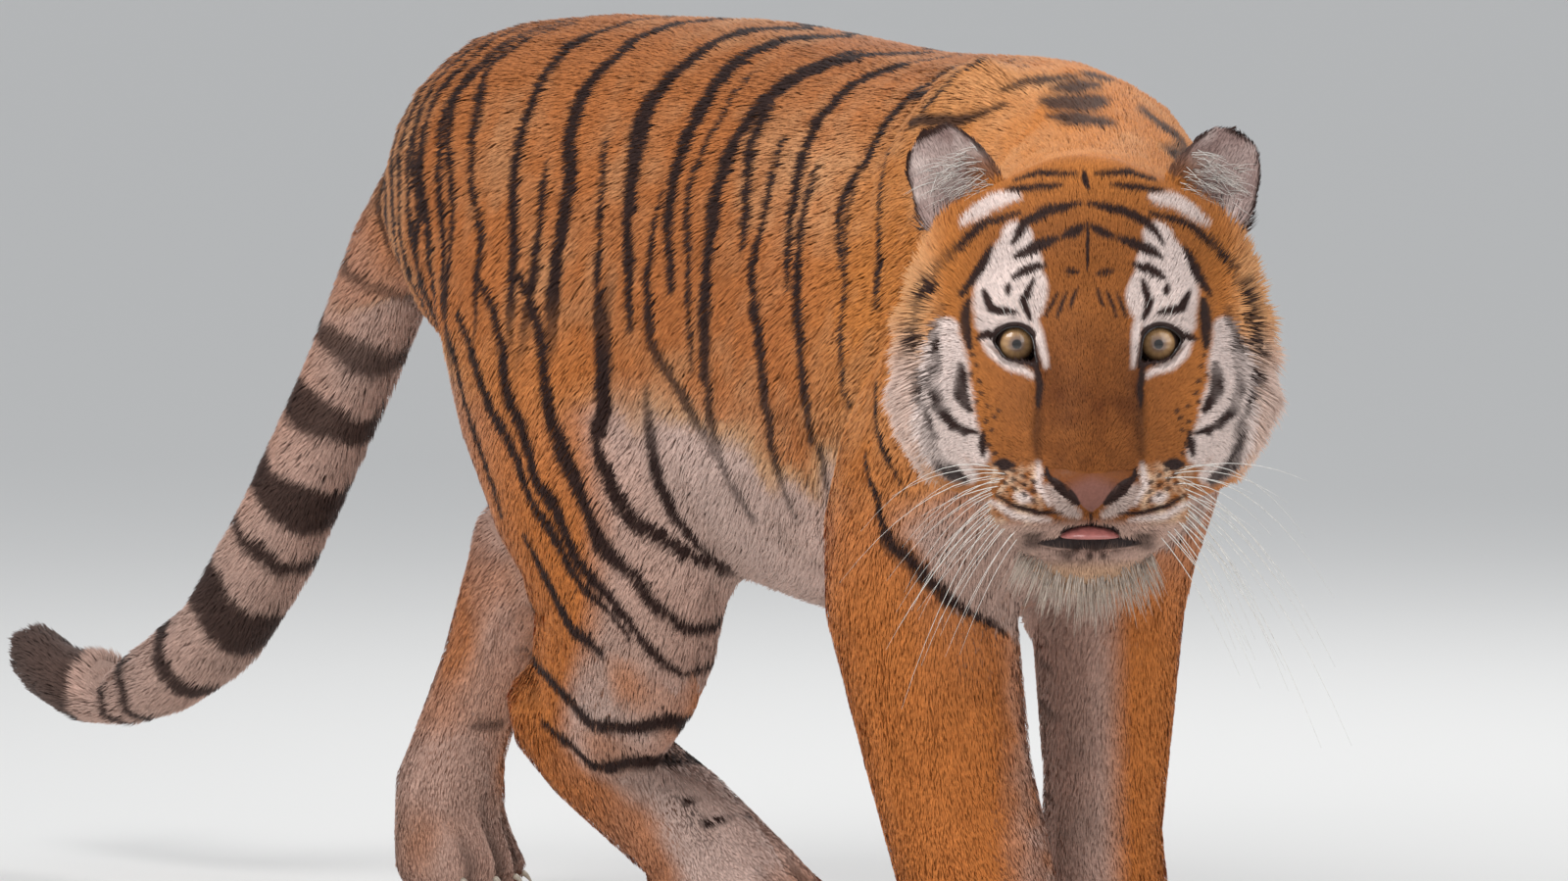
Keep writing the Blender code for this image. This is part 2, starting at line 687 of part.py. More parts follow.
def stand_flat(body):
    """Cut the soles level with the floor."""
    return boolean(body, block("above_floor", (-2, -1, 0), (2, 1, 2)), "INTERSECT")


def keep_largest(thing):
    """Drop crumbs that a cut has left beside the piece."""
    bm = bmesh.new()
    bm.from_mesh(thing.data)
    bm.verts.ensure_lookup_table()
    seen = set()
    islands = []
    for start in bm.verts:
        if start.index in seen:
            continue
        stack, island = [start], []
        seen.add(start.index)
        while stack:
            vertex = stack.pop()
            island.append(vertex)
            for edge in vertex.link_edges:
                other = edge.other_vert(vertex)
                if other.index not in seen:
                    seen.add(other.index)
                    stack.append(other)
        islands.append(island)
    islands.sort(key=len)
    for island in islands[:-1]:
        bmesh.ops.delete(bm, geom=island, context="VERTS")
    bm.to_mesh(thing.data)
    bm.free()


def centre_on_floor(things):
    """Move everything so that the middle of its footprint is the origin."""
    corners = [vertex.co for thing in things for vertex in thing.data.vertices]
    middle = [(min(c[i] for c in corners) + max(c[i] for c in corners)) / 2 for i in (0, 1)]
    for thing in things:
        thing.data.transform(Matrix.Translation((-middle[0], -middle[1], 0.0)))


def build():
    clear_scene()
    frame_of_body = fuse("frame_of_body", (trunk_mass, neck_mass, forelegs, hindlegs, tail_mass), 30)
    head = melted_head()
    body = fuse("body", (frame_of_body, head, both_ears), 4, VOXEL * 0.8)
    for spent in (frame_of_body, head):
        bpy.data.objects.remove(spent, do_unlink=True)
    thin_out(body)
    stand_flat(body)
    parts = {}
    cut_head(body, parts)
    neck_region = ((0.0, -0.35, -0.45), (0.60, 0.35, 0.45), aimed(*NECK_CUT))
    parts["neck"] = part_off(body, "neck", block, *neck_region)
    cut_tail(body, parts)
    cut_legs(body, parts)
    body.name = "trunk"
    parts["trunk"] = body
    centre_on_floor(parts.values())
    for name, part in parts.items():
        part.name = name
        keep_largest(part)
        colour, roughness = FINISHES.get(name.split("_")[0], FINISHES["coat"])
        paint(part, colour, roughness)


build()
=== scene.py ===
"""Looks of the walking tiger: one skin under a coat of mesh tufts, eyes, claws and whiskers."""
import math

import bmesh
import bpy
import numpy as np
from mathutils import Matrix, Vector
from mathutils.kdtree import KDTree


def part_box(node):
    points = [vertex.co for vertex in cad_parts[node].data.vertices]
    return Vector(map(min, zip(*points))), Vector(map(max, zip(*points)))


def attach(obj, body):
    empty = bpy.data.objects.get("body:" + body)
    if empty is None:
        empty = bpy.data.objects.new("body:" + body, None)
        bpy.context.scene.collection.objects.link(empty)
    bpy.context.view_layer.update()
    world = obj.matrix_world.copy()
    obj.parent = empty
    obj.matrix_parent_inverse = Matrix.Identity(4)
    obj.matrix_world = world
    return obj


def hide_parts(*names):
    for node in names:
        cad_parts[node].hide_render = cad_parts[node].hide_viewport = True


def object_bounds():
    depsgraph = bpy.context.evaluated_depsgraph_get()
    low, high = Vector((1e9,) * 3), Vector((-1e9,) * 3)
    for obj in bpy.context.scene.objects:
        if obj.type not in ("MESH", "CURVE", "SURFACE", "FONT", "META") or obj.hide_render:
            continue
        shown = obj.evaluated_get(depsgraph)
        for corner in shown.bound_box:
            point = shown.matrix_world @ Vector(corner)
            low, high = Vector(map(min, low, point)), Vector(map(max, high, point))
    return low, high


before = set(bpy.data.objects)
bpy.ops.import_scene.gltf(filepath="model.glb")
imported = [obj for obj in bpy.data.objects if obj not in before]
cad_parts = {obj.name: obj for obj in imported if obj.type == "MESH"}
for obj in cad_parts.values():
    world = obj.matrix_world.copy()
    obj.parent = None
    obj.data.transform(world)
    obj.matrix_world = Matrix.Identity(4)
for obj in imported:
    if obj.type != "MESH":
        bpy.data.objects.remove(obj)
cad_low, cad_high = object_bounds()
rng = np.random.default_rng(17)

# ---------------------------------------------------------------- sizes (metres) and counts
SKIN_GRAIN = 0.004           # voxel of the skin
BODY_FACES = 56000           # triangles kept in the skin before the face is refined
JOIN_SWELL = 0.0005          # closes the thin cuts between the solids
SMOOTH_ROUNDS = 45           # takes the steps of the voxels out of the skin
EYE_COVER = 0.0030           # how far the skin behind an eyeball stays within it
LID_TUCK = 0.0055            # how far the skin goes back at the corners of the eyes
EYE_DEPTH = -0.0205          # the eyeball's centre behind the line of the pupils
FACE_LEAN = 0.063            # marks on the face are laid out square to a line that leans this much
GIRTH = 0.19                 # turns an angle round the trunk into a distance
SPINE_BEND, SPINE_CENTRE, SPINE_REACH = 0.070, 0.084, 0.60
SPINE_Y = 0.079              # how far left the trunk's ends lie
FLANK_HEIGHT = 0.64          # height of the trunk's middle line
ROOT_DEPTH = 0.0008          # how far a tuft's root is sunk in the skin
PATCH = 0.003                # width of a tuft's patch on the OFBake map
SHOWN = 0.62                 # the part of a tuft that shows is this far along it
BELLY_COAT = 0.006           # how much deeper the coat is under the belly
TOE_STEP = 0.245             # from toe to toe, as a share of the paw's width
TOE_DEPTH = 0.007            # depth of the grooves between the toes
MOUTH_PLACE = (0.074, 0, -0.1725)      # centre of the mouth's opening, in the head's coordinates
TONGUE_ROOM = (0.068, 0, -0.1618)      # centre of the hollow for the tongue
SPEED = 1.0

# Part: depth of coat, length and width of its tufts, tufts in a square centimetre
COATS = {
    "trunk": (0.0062, 0.022, 0.0018, 17.0),
    "neck": (0.0105, 0.029, 0.0018, 16.0),
    "head": (0.0040, 0.011, 0.0013, 32.0),
    "ear": (0.0015, 0.008, 0.0011, 34.0),
    "thigh": (0.0042, 0.017, 0.0018, 19.0),
    "foreleg": (0.0026, 0.013, 0.0017, 22.0),
    "shank": (0.0024, 0.012, 0.0016, 22.0),
    "paw": (0.0025, 0.009, 0.0012, 25.0),
    "tail": (0.0080, 0.021, 0.0016, 20.0),
}
KINDS = list(COATS)

# ---------------------------------------------------------------- colours (linear)
ORANGE = np.array((0.560, 0.196, 0.042))
FLANK_ORANGE = np.array((0.500, 0.165, 0.045))
BACK = np.array((0.380, 0.140, 0.048))
FACE_ORANGE = np.array((0.300, 0.098, 0.022))
BRIDGE = np.array((0.165, 0.048, 0.010))
LEG_ORANGE = np.array((0.540, 0.175, 0.040))
CREAM = np.array((0.660, 0.400, 0.210))
WHITE = np.array((0.740, 0.610, 0.560))
# white fur with shade painted in: mixed in, it paints shade on the belly, chest, throat and under the jaw
# and nose, and in patches on the legs' and tail's pale fur
SHADED_WHITE = np.array((0.330, 0.235, 0.195))
TAN = np.array((0.560, 0.365, 0.295))
BLACK = np.array((0.030, 0.013, 0.010))
NOSE = np.array((0.245, 0.102, 0.076))
MOUTH = np.array((0.022, 0.012, 0.012))
EAR_PINK = np.array((0.360, 0.240, 0.215))


# ---------------------------------------------------------------- number helpers
def smooth(low, high, value):
    """0 below low, 1 above high and an even slope between."""
    share = np.clip((value - low) / (high - low), 0.0, 1.0)
    return share * share * (3.0 - 2.0 * share)


def unit(vectors):
    return vectors / np.maximum(np.linalg.norm(vectors, axis=-1, keepdims=True), 1e-9)


def mix(a, b, share):
    share = np.asarray(share)[..., None]
    return a * (1.0 - share) + b * share


LATTICE = np.random.default_rng(5).uniform(-1.0, 1.0, 4096)


def noise(points, size, seed=0):
    """Smooth value noise from -1 to 1, with bumps about as wide as size."""
    place = points / size + seed * 17.3
    cell = np.floor(place).astype(np.int64)
    part = place - cell
    part = part * part * (3.0 - 2.0 * part)
    total = 0.0
    for corner in range(8):
        step = np.array((corner & 1, corner >> 1 & 1, corner >> 2 & 1))
        key = (cell + step) * np.array((73856093, 19349663, 83492791))
        value = LATTICE[(key[:, 0] ^ key[:, 1] ^ key[:, 2]) & 4095]
        weight = np.where(step, part, 1.0 - part).prod(axis=1)
        total = total + value * weight
    return total


# ---------------------------------------------------------------- the head's own coordinates
def box_middle(node):
    low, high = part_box(node)
    return (low + high) / 2


def head_axes():
    """Origin midway between the pupils; rows are ahead, left and up."""
    left, right = box_middle("eye_left"), box_middle("eye_right")
    side = (left - right).normalized()
    ahead = side.cross(Vector((0.0, 0.0, 1.0))).normalized()
    origin = (left + right) / 2 - ahead * EYE_DEPTH
    return np.array(origin), np.array((ahead, side, (0.0, 0.0, 1.0)))


HEAD_ORIGIN, HEAD_AXES = head_axes()
EYE_SPACING = (box_middle("eye_left") - box_middle("eye_right")).length / 2
EYE_RADIUS = (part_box("eye_left")[1].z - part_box("eye_left")[0].z) / 2


def to_head(points):
    return (np.asarray(points) - HEAD_ORIGIN) @ HEAD_AXES.T


def from_head(points):
    return np.asarray(points) @ HEAD_AXES + HEAD_ORIGIN


def folded(local):
    """The head's coordinates with its right half laid over its left."""
    return np.stack([local[:, 0], np.abs(local[:, 1]), local[:, 2]], axis=1)


# Each mass: centre, radii, turn about X, Y and Z in degrees, and how softly it melts in.
HEAD_MIDDLE = (
    ((-0.118, 0, 0.036), (0.100, 0.118, 0.130), (0, 0, 0), 0.030),      # cranium
    ((-0.058, 0, 0.036), (0.052, 0.082, 0.066), (0, 30, 0), 0.040),     # forehead
    ((-0.034, 0, -0.072), (0.067, 0.110, 0.090), (0, 10, 0), 0.045),    # middle of the face
    ((0.034, 0, -0.044), (0.104, 0.045, 0.042), (0, 46, 0), 0.034),     # bridge of the nose
    ((0.030, 0, -0.122), (0.080, 0.076, 0.062), (0, 8, 0), 0.040),      # muzzle
    ((0.098, 0, -0.126), (0.024, 0.042, 0.028), (0, 20, 0), 0.014),     # nose
    ((0.044, 0, -0.192), (0.042, 0.050, 0.032), (0, -6, 0), 0.020),     # chin
    ((-0.020, 0, -0.150), (0.090, 0.072, 0.052), (0, 0, 0), 0.040),     # jaw
    ((-0.145, 0, -0.066), (0.085, 0.124, 0.104), (0, 0, 0), 0.040),     # throat
)
HEAD_PAIRS = (
    ((-0.008, 0.050, -0.086), (0.060, 0.042, 0.048), (0, 20, 0), 0.038),    # beside the nose
    ((-0.048, 0.080, -0.044), (0.048, 0.044, 0.056), (0, 0, 0), 0.050),     # cheekbones
    ((-0.036, 0.050, 0.034), (0.032, 0.044, 0.024), (-10, 24, -18), 0.034),   # brows
    ((0.062, 0.044, -0.144), (0.048, 0.047, 0.038), (6, 0, 14), 0.022),     # whisker pads
    ((-0.072, 0.076, -0.084), (0.060, 0.052, 0.052), (0, 0, 0), 0.050),     # jaw muscles
    ((-0.122, 0.096, -0.004), (0.058, 0.074, 0.122), (6, 0, 0), 0.055),     # ruff
    ((-0.108, 0.098, -0.066), (0.056, 0.064, 0.060), (24, 0, 0), 0.040),    # ruff below
)
LIDS = (
    ((EYE_DEPTH, EYE_SPACING, 0), (EYE_RADIUS + 0.003,) * 3, (0, 0, 0), 0.008),
)
HEAD_HOLLOWS = (
    ((0.112, 0.0245, -0.1245), (0.022, 0.0088, 0.0042), (-40, 0, 0), 0.0025),  # nostrils
    ((0.100, 0.0400, -0.1150), (0.020, 0.0045, 0.0022), (-36, 0, 0), 0.003),   # nostril wings
    ((0.044, 0.0490, -0.0800), (0.020, 0.0030, 0.0380), (0, 22, 0), 0.006),    # beside the bridge
)
MOUTH_HOLLOWS = (
    (MOUTH_PLACE, (0.052, 0.047, 0.0062), (0, 0, 0), 0.003),
    (TONGUE_ROOM, (0.050, 0.034, 0.0088), (0, 0, 0), 0.003),
    ((0.112, 0, -0.150), (0.012, 0.0016, 0.010), (0, 0, 0), 0.003),            # cleft of the lip
)


def mirrored(masses):
    """The masses and their mirror images across the head's middle."""
    both = []
    for (x, y, z), radii, (rx, ry, rz), soft in masses:
        both.append(((x, y, z), radii, (rx, ry, rz), soft))
        both.append(((x, -y, z), radii, (-rx, ry, -rz), soft))
    return both


def turned(turn):
    spin = Matrix.Identity(3)
    for angle, axis in zip(turn, "XYZ"):
        spin = spin @ Matrix.Rotation(math.radians(angle), 3, axis)
    return np.array(spin)


def outside(points, mass):
    """About how far each point is outside an ellipsoid, negative within it."""
    centre, radii, turn, _ = mass
    local = (points - np.array(centre)) @ turned(turn)
    radii = np.array(radii)
    near = np.linalg.norm(local / radii, axis=1) + 1e-9
    slope = np.linalg.norm(local / radii ** 2, axis=1) + 1e-9
    return near * (near - 1.0) / slope


def melt(a, b, soft):
    """The smaller of two distances, rounded where they are nearly equal."""
    near = np.maximum(soft - np.abs(a - b), 0.0) / soft
    return np.minimum(a, b) - near * near * soft * 0.25


def head_coat(local):
    """Depth of the coat over the head: thin on the muzzle and round the eyes, deep in the ruff."""
    back = smooth(0.02, -0.11, local[:, 0])
    side = smooth(0.085, 0.14, np.abs(local[:, 1]))
    return 0.0022 + 0.004 * back + 0.010 * np.maximum(back, 0.35) * side


def coarse_head(local):
    masses = list(HEAD_MIDDLE) + mirrored(HEAD_PAIRS)
    total = outside(local, masses[0])
    for mass in masses[1:]:
        total = melt(total, outside(local, mass), mass[3])
    return total


def bare_head(local):
    """The head's masses less its coat."""
    return coarse_head(local) + head_coat(local)


def lidded(local):
    """The bare head with the lids laid on, before the openings are cut."""
    total = bare_head(local)
    for lid in mirrored(LIDS):
        total = melt(total, outside(local, lid), lid[3])
    return total


def head_shape(local):
    """The head's skin: its masses less the coat, with the lids laid on and the openings cut."""
    total = lidded(local)
    for hollow in mirrored(HEAD_HOLLOWS) + list(MOUTH_HOLLOWS):
        total = -melt(-total, outside(local, hollow), hollow[3])
    return total


def settle(points, shape, weight, rounds=8, reach=0.005):
    """Slide points to where the shape's distance is zero, by their weight."""
    step = 0.0004
    points = points.copy()
    for _ in range(rounds):
        here = shape(points)
        slope = np.stack([(shape(points + axis * step) - here) / step for axis in np.eye(3)], axis=1)
        size = np.maximum((slope ** 2).sum(axis=1), 0.3)
        move = slope * (here / size)[:, None]
        length = np.linalg.norm(move, axis=1)
        share = np.minimum(1.0, reach / np.maximum(length, 1e-9)) * weight
        points -= move * share[:, None]
    return points


# ---------------------------------------------------------------- meshes as arrays
def new_object(name, mesh):
    thing = bpy.data.objects.new(name, mesh)
    bpy.context.scene.collection.objects.link(thing)
    return thing


def read(items, key, width, kind=np.float32):
    """One property of all of a mesh's items, in rows."""
    flat = np.empty(len(items) * width, kind)
    items.foreach_get(key, flat)
    return flat.reshape(-1, width)


def points_of(mesh):
    return read(mesh.vertices, "co", 3).astype(float)


def normals_of(mesh):
    return read(mesh.vertices, "normal", 3).astype(float)


def set_points(mesh, points):
    mesh.vertices.foreach_set("co", np.asarray(points, np.float32).ravel())
    mesh.update()


def edges_of(mesh):
    return read(mesh.edges, "vertices", 2, np.int32)


def triangles_of(mesh):
    mesh.calc_loop_triangles()
    return read(mesh.loop_triangles, "vertices", 3, np.int32)


def average(values, edges, rounds, weight=1.0):
    """Each round moves every vertex's value by its weight towards its neighbours' mean."""
    count = len(values)
    a, b = edges[:, 0], edges[:, 1]
    degree = np.maximum(np.bincount(a, minlength=count) + np.bincount(b, minlength=count), 1)
    flat = values.reshape(count, -1).copy()
    weight = np.broadcast_to(weight, (count,))
    for _ in range(rounds):
        for k in range(flat.shape[1]):
            column = flat[:, k]
            total = np.bincount(a, column[b], count) + np.bincount(b, column[a], count)
            flat[:, k] = column + weight * (total / degree - column)
    return flat.reshape(values.shape)


def evaluated(thing):
    graph = bpy.context.evaluated_depsgraph_get()
    graph.update()
    return bpy.data.meshes.new_from_object(thing.evaluated_get(graph))


# ---------------------------------------------------------------- the skin
FLESH = [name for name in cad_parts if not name.startswith(("eye", "tongue"))]


def kind_of(node):
    return next(kind for kind in KINDS if node.startswith(kind))


def of_kind(kinds, *words):
    """Which places belong to parts of these kinds."""
    return np.isin(kinds, [KINDS.index(word) for word in words])


def node_tree():
    """A tree of the flesh nodes' face middles, with the kind and name of each."""
    places, names = [], []
    for name in FLESH:
        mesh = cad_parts[name].data
        for face in mesh.polygons:
            places.append(face.center.copy())
            names.append(name)
    tree = KDTree(len(places))
    for i, place in enumerate(places):
        tree.insert(place, i)
    tree.balance()
    return tree, names


def joined_flesh():
    """All flesh solids fused into one even mesh."""
    bm = bmesh.new()
    for name in FLESH:
        bm.from_mesh(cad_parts[name].data)
    bmesh.ops.remove_doubles(bm, verts=bm.verts, dist=0.00001)
    bm.normal_update()
    for vertex in bm.verts:
        vertex.co += vertex.normal * JOIN_SWELL
    mesh = bpy.data.meshes.new("flesh")
    bm.to_mesh(mesh)
    bm.free()
    flesh = new_object("flesh", mesh)
    fuse = flesh.modifiers.new("fuse", "REMESH")
    fuse.mode = "VOXEL"
    fuse.voxel_size = SKIN_GRAIN
    fused = evaluated(flesh)
    bpy.data.objects.remove(flesh)
    bpy.data.meshes.remove(mesh)
    return fused


EAR_MIDDLE = np.array((-0.132, 0.112, 0.148))


def near_head(points):
    """How far each point belongs to the head proper, and to an ear, from 0 to 1."""
    local = to_head(points)
    ahead = smooth(-0.215, -0.165, local[:, 0])
    ear = smooth(0.003, 0.012, coarse_head(local)) * ahead
    ear *= smooth(0.078, 0.066, np.linalg.norm(folded(local) - EAR_MIDDLE, axis=1))
    return ahead * (1.0 - ear), ear


def labels_for(points, tree, names):
    """The kind of part and the node nearest to each point."""
    picks = [tree.find(Vector(point))[1] for point in points]
    kinds = np.array([KINDS.index(kind_of(names[i])) for i in picks])
    return kinds, [names[i] for i in picks]


def make_skin(tree, names):
    """The fused flesh made smooth and sunk by the depth of the coat, with the head's finer shape."""
    mesh = joined_flesh()
    points = points_of(mesh)
    edges = edges_of(mesh)
    on_head, on_ear = near_head(points)
    low = smooth(0.14, 0.09, points[:, 2])
    soft = 0.5 * (1.0 - 0.75 * np.maximum(low, on_ear))
    for _ in range(SMOOTH_ROUNDS):
        points = average(points, edges, 1, soft)
        points = average(points, edges, 1, -soft * 1.05)
    set_points(mesh, points)
    kinds, _ = labels_for(points, tree, names)
    depth = np.array([COATS[kind][0] for kind in KINDS])[kinds]
    belly = smooth(0.55, 0.42, points[:, 2]) * of_kind(kinds, "trunk")
    depth = depth + BELLY_COAT * belly
    depth = np.where(on_ear > 0.3, COATS["ear"][0], depth)
    depth = average(depth, edges, 14, 0.6)
    inward = depth * (1.0 - on_head) + TOE_DEPTH * between_toes(points)
    pushed = points - normals_of(mesh) * inward[:, None]
    pushed[:, 2] = np.maximum(pushed[:, 2], 0.0006)
    local = to_head(pushed)
    near = on_head > 0.01
    local[near] = settle(local[near], bare_head, on_head[near])
    set_points(mesh, from_head(local))
    return thinned(mesh, on_head, on_ear)


PAWS = (                     # heel, toe, width and height
    ((0.574, -0.007), (0.756, -0.027), 0.156, 0.092),
    ((0.479, 0.181), (0.661, 0.163), 0.150, 0.092),
    ((-0.114, 0.095), (0.079, 0.185), 0.140, 0.104),
    ((-0.634, 0.121), (-0.506, 0.165), 0.134, 0.100),
)


def between_toes(points):
    """How far each place is down the grooves between the toes, from 0 to 1."""
    groove = np.zeros(len(points))
    for heel, toe, width, height in PAWS:
        heel, toe = np.array(heel), np.array(toe)
        along = unit(toe - heel)
        ahead = (points[:, :2] - heel) @ along / np.linalg.norm(toe - heel)
        aside = (points[:, :2] - heel) @ np.array((-along[1], along[0]))
        near = (ahead > 0.4) & (ahead < 1.2) & (np.abs(aside) < 0.6 * width) & (points[:, 2] < 1.2 * height)
        for place in (-TOE_STEP, 0.0, TOE_STEP):
            cut = smooth(0.0100, 0.0015, np.abs(aside - place * width)) * smooth(0.55, 0.80, ahead)
            groove = np.maximum(groove, cut * near)
    return groove


def thinned(mesh, on_head, on_ear):
    """Fewer faces on the body; the head and the ears keep theirs."""
    skin = new_object("skin", mesh)
    group = skin.vertex_groups.new(name="fine")
    keep = np.maximum(on_head, on_ear)
    for level in (0.5, 0.97):
        picked = np.flatnonzero(keep > level)
        group.add(picked.tolist(), level, "REPLACE")
    thin = skin.modifiers.new("thin", "DECIMATE")
    thin.ratio = BODY_FACES / len(triangles_of(mesh))
    thin.vertex_group = "fine"
    thin.invert_vertex_group = True
    skin.data = evaluated(skin)
    skin.modifiers.clear()
    skin.vertex_groups.clear()
    return skin


def refine(skin, chosen):
    """Split the faces whose middles are chosen in the head's coordinates into four."""
    bm = bmesh.new()
    bm.from_mesh(skin.data)
    middles = np.array([face.calc_center_median() for face in bm.faces])
    picked = chosen(to_head(middles))
    edges = {edge for face, yes in zip(bm.faces, picked) if yes for edge in face.edges}
    bmesh.ops.subdivide_edges(bm, edges=list(edges), cuts=1, use_grid_fill=True)
    bmesh.ops.triangulate(bm, faces=[face for face in bm.faces if len(face.verts) > 4])
    bm.to_mesh(skin.data)
    bm.free()


def finer_face(local):
    x, y, z = folded(local).T
    return (x > -0.035) & (y < 0.105) & (z < 0.045) & (z > -0.215)


def finest_face(local):
    x, y, z = folded(local).T
    eye = (np.hypot(y - EYE_SPACING, z) < 0.033) & (x > -0.03)
    nose = (y < 0.05) & (x > 0.080) & (z > -0.168) & (z < -0.095)
    mouth = (y < 0.056) & (x > 0.05) & (np.abs(z + 0.170) < 0.018)
    return eye | nose | mouth


def tucked_behind_eyes(local):
    """The skin within the edge of the lids goes in behind the eyeball."""
    near, place, gap = lid_gap(local)
    inner = near[gap < 0.0]
    off = np.linalg.norm(place[gap < 0.0], axis=1)
    hidden = local[inner].copy()
    ball = EYE_DEPTH + np.sqrt(np.maximum((EYE_RADIUS - EYE_COVER) ** 2 - off ** 2, 0.0))
    hidden[:, 0] = np.minimum(hidden[:, 0], ball)
    back = local[inner] - np.array((LID_TUCK, 0.0, 0.0))
    share = smooth(0.0212, 0.0188, off)
    local[inner] = mix(back, hidden, share)
    return local


def shape_face(skin):
    """Finer faces over the face, laid on the head's shape, with the skin tucked behind the eyes."""
    refine(skin, finer_face)
    refine(skin, finest_face)
    mesh = skin.data
    points = points_of(mesh)
    on_head, _ = near_head(points)
    local = to_head(points)
    near = (on_head > 0.9) & (local[:, 0] > -0.045) & (np.abs(local[:, 1]) < 0.11)
    local[near] = settle(local[near], head_shape, on_head[near], rounds=11, reach=0.003)
    points = average(from_head(local), edges_of(mesh), 1, 0.25)
    set_points(mesh, from_head(tucked_behind_eyes(to_head(points))))


# ---------------------------------------------------------------- markings
MM = 0.001
DEGREE = math.radians(1.0) * GIRTH


def segments(route, places):
    """For each leg of a route: its direction, and every place's way along the route and gap from it."""
    done = 0.0
    for start, end in zip(route, route[1:]):
        length = np.linalg.norm(end - start)
        along = (end - start) / max(length, 1e-6)
        t = np.clip((places - start) @ along, 0.0, length)
        yield along, done + t, np.linalg.norm(places - start - t[:, None] * along, axis=1)
        done += length


def strokes(u, v, table, softness):
    """How dark a set of tapering strokes makes each place; rows are half width, then points."""
    dark = np.zeros(len(u))
    for half, *route in table:
        route = np.array(route, float)
        low, high = route.min(axis=0) - half * 1.6, route.max(axis=0) + half * 1.6
        near = np.flatnonzero((u > low[0]) & (u < high[0]) & (v > low[1]) & (v < high[1]))
        if len(near) == 0:
            continue
        place = np.stack([u[near], v[near]], axis=1)
        whole = max(np.linalg.norm(np.diff(route, axis=0), axis=1).sum(), 1e-6)
        best = np.full(len(near), -1.0)
        for _, way, gap in segments(route, place):
            wide = half * (0.35 + 0.65 * np.sin(np.pi * np.clip(way / whole, 0.03, 0.97)) ** 0.6)
            best = np.maximum(best, (wide - gap) / softness + 0.5)
        dark[near] = np.maximum(dark[near], np.clip(best, 0.0, 1.0))
    return dark


def scaled(table, u_scale, v_scale, half_scale=0.001):
    return [(half * half_scale, *[(u * u_scale, v * v_scale) for u, v in route])
            for half, *route in table]


def fine_strokes(u, v, table, softness):
    """Strokes of a table that is wholly in millimetres."""
    return strokes(u, v, scaled(table, MM, MM), softness)


def leg_strokes(x, z, table, softness, half_scale=0.001):
    """Strokes of a table with half widths in millimetres and routes in metres."""
    return strokes(x, z, scaled(table, 1, 1, half_scale), softness)


# Flank stripes: half width in mm, then x in metres and the angle above the flank in degrees.
FLANK = (
    (6, (-0.35, 88), (-0.40, 61), (-0.35, 33), (-0.37, 0), (-0.34, -30)),
    (6, (-0.27, 90), (-0.33, 59), (-0.28, 29), (-0.28, -8), (-0.27, -30)),
    (6, (-0.24, 92), (-0.30, 66), (-0.25, 36), (-0.21, 18), (-0.21, -22)),
    (8, (-0.14, 92), (-0.20, 70), (-0.19, 50), (-0.15, 12), (-0.14, -22)),
    (12, (-0.05, 93), (-0.10, 78), (-0.11, 58), (-0.09, 37), (-0.09, 4), (-0.08, -20)),
    (6, (-0.04, 46), (-0.02, 18), (-0.01, -6)),
    (15, (-0.01, 4), (0.003, -10), (0.004, -30)),
    (12, (0.10, 94), (0.03, 78), (0.00, 57), (0.03, 21), (0.05, -4)),
    (12, (0.18, 94), (0.12, 80), (0.09, 68), (0.09, 48), (0.11, 20), (0.12, 8)),
    (8, (0.08, 34), (0.07, 11), (0.09, -8), (0.14, -21), (0.18, -32), (0.22, -46)),
    (10, (0.24, 80), (0.18, 60), (0.17, 35), (0.185, 5), (0.193, -22), (0.20, -38), (0.225, -50)),
    (9, (0.31, 90), (0.24, 74), (0.19, 62), (0.21, 44), (0.24, 22)),
    (8, (0.25, 52), (0.27, 14), (0.306, -28), (0.305, -50)),
    (9, (0.38, 88), (0.31, 72), (0.29, 57), (0.31, 37), (0.33, 12)),
    (8, (0.33, 46), (0.35, 8), (0.385, -28), (0.40, -46)),
    (7, (0.45, 80), (0.41, 62), (0.40, 40), (0.42, 20)),
    (4, (0.41, 44), (0.44, 8), (0.46, -18), (0.52, -34)),
    (5, (0.52, 86), (0.47, 66), (0.45, 50)),
    (6, (-0.13, 40), (-0.12, 8), (-0.13, -30)),
    (5, (0.13, 66), (0.13, 40), (0.15, 10), (0.17, -14)),
    (5, (0.46, 58), (0.49, 30), (0.50, 8)),
)
BELLY_PLACES = (0.00, 0.13, 0.25, 0.35, 0.50)       # along the trunk
BELLY_ANGLES = (-24.0, -25.0, -34.0, -39.0, -36.0)   # where its sides turn white
RUMP = [(6, (-0.50 + 0.034 * i, 92 - i), (-0.53 + 0.032 * i, 60), (-0.50 + 0.034 * i, 28 - 2 * i),
         (-0.49 + 0.036 * i, -14 - 3 * i)) for i in range(7)]
HUMP = (
    (4, (0.41, 66), (0.46, 70), (0.50, 74)),
    (4, (0.52, 56), (0.55, 62), (0.58, 70), (0.60, 80)),
)
# Neck marks, laid out as the face's are: half width, then mm to the side and up from the eyes.
NECK = (
    (7, (-192, 166), (-176, 190), (-160, 208)),
    (6, (-170, 205), (-140, 213), (-104, 213), (-68, 222)),
    (5, (-66, 240), (-40, 246), (-2, 248)),
    (8, (-22, 236), (16, 238)),
    (8, (-30, 224), (22, 220)),
    (7, (-18, 211), (34, 204)),
    (4, (4, 252), (34, 246)),
    (3, (-160, 246), (-124, 264), (-84, 276), (-48, 274)),
    (4, (-215, 190), (-205, 214), (-188, 236)),
    (4, (-228, 150), (-222, 180), (-214, 200)),
    (5, (52, 216), (78, 190), (92, 168)),
)
# Side of the neck, left side alone: half width, then mm ahead of and above the eyes.
NAPE = (
    (5, (-440, 130), (-455, 60), (-430, -10)),
    (4, (-385, 140), (-395, 90), (-380, 40)),
    (5, (-330, 120), (-345, 50), (-320, -10), (-290, -40)),
    (4, (-275, 110), (-285, 60), (-270, 20)),
)
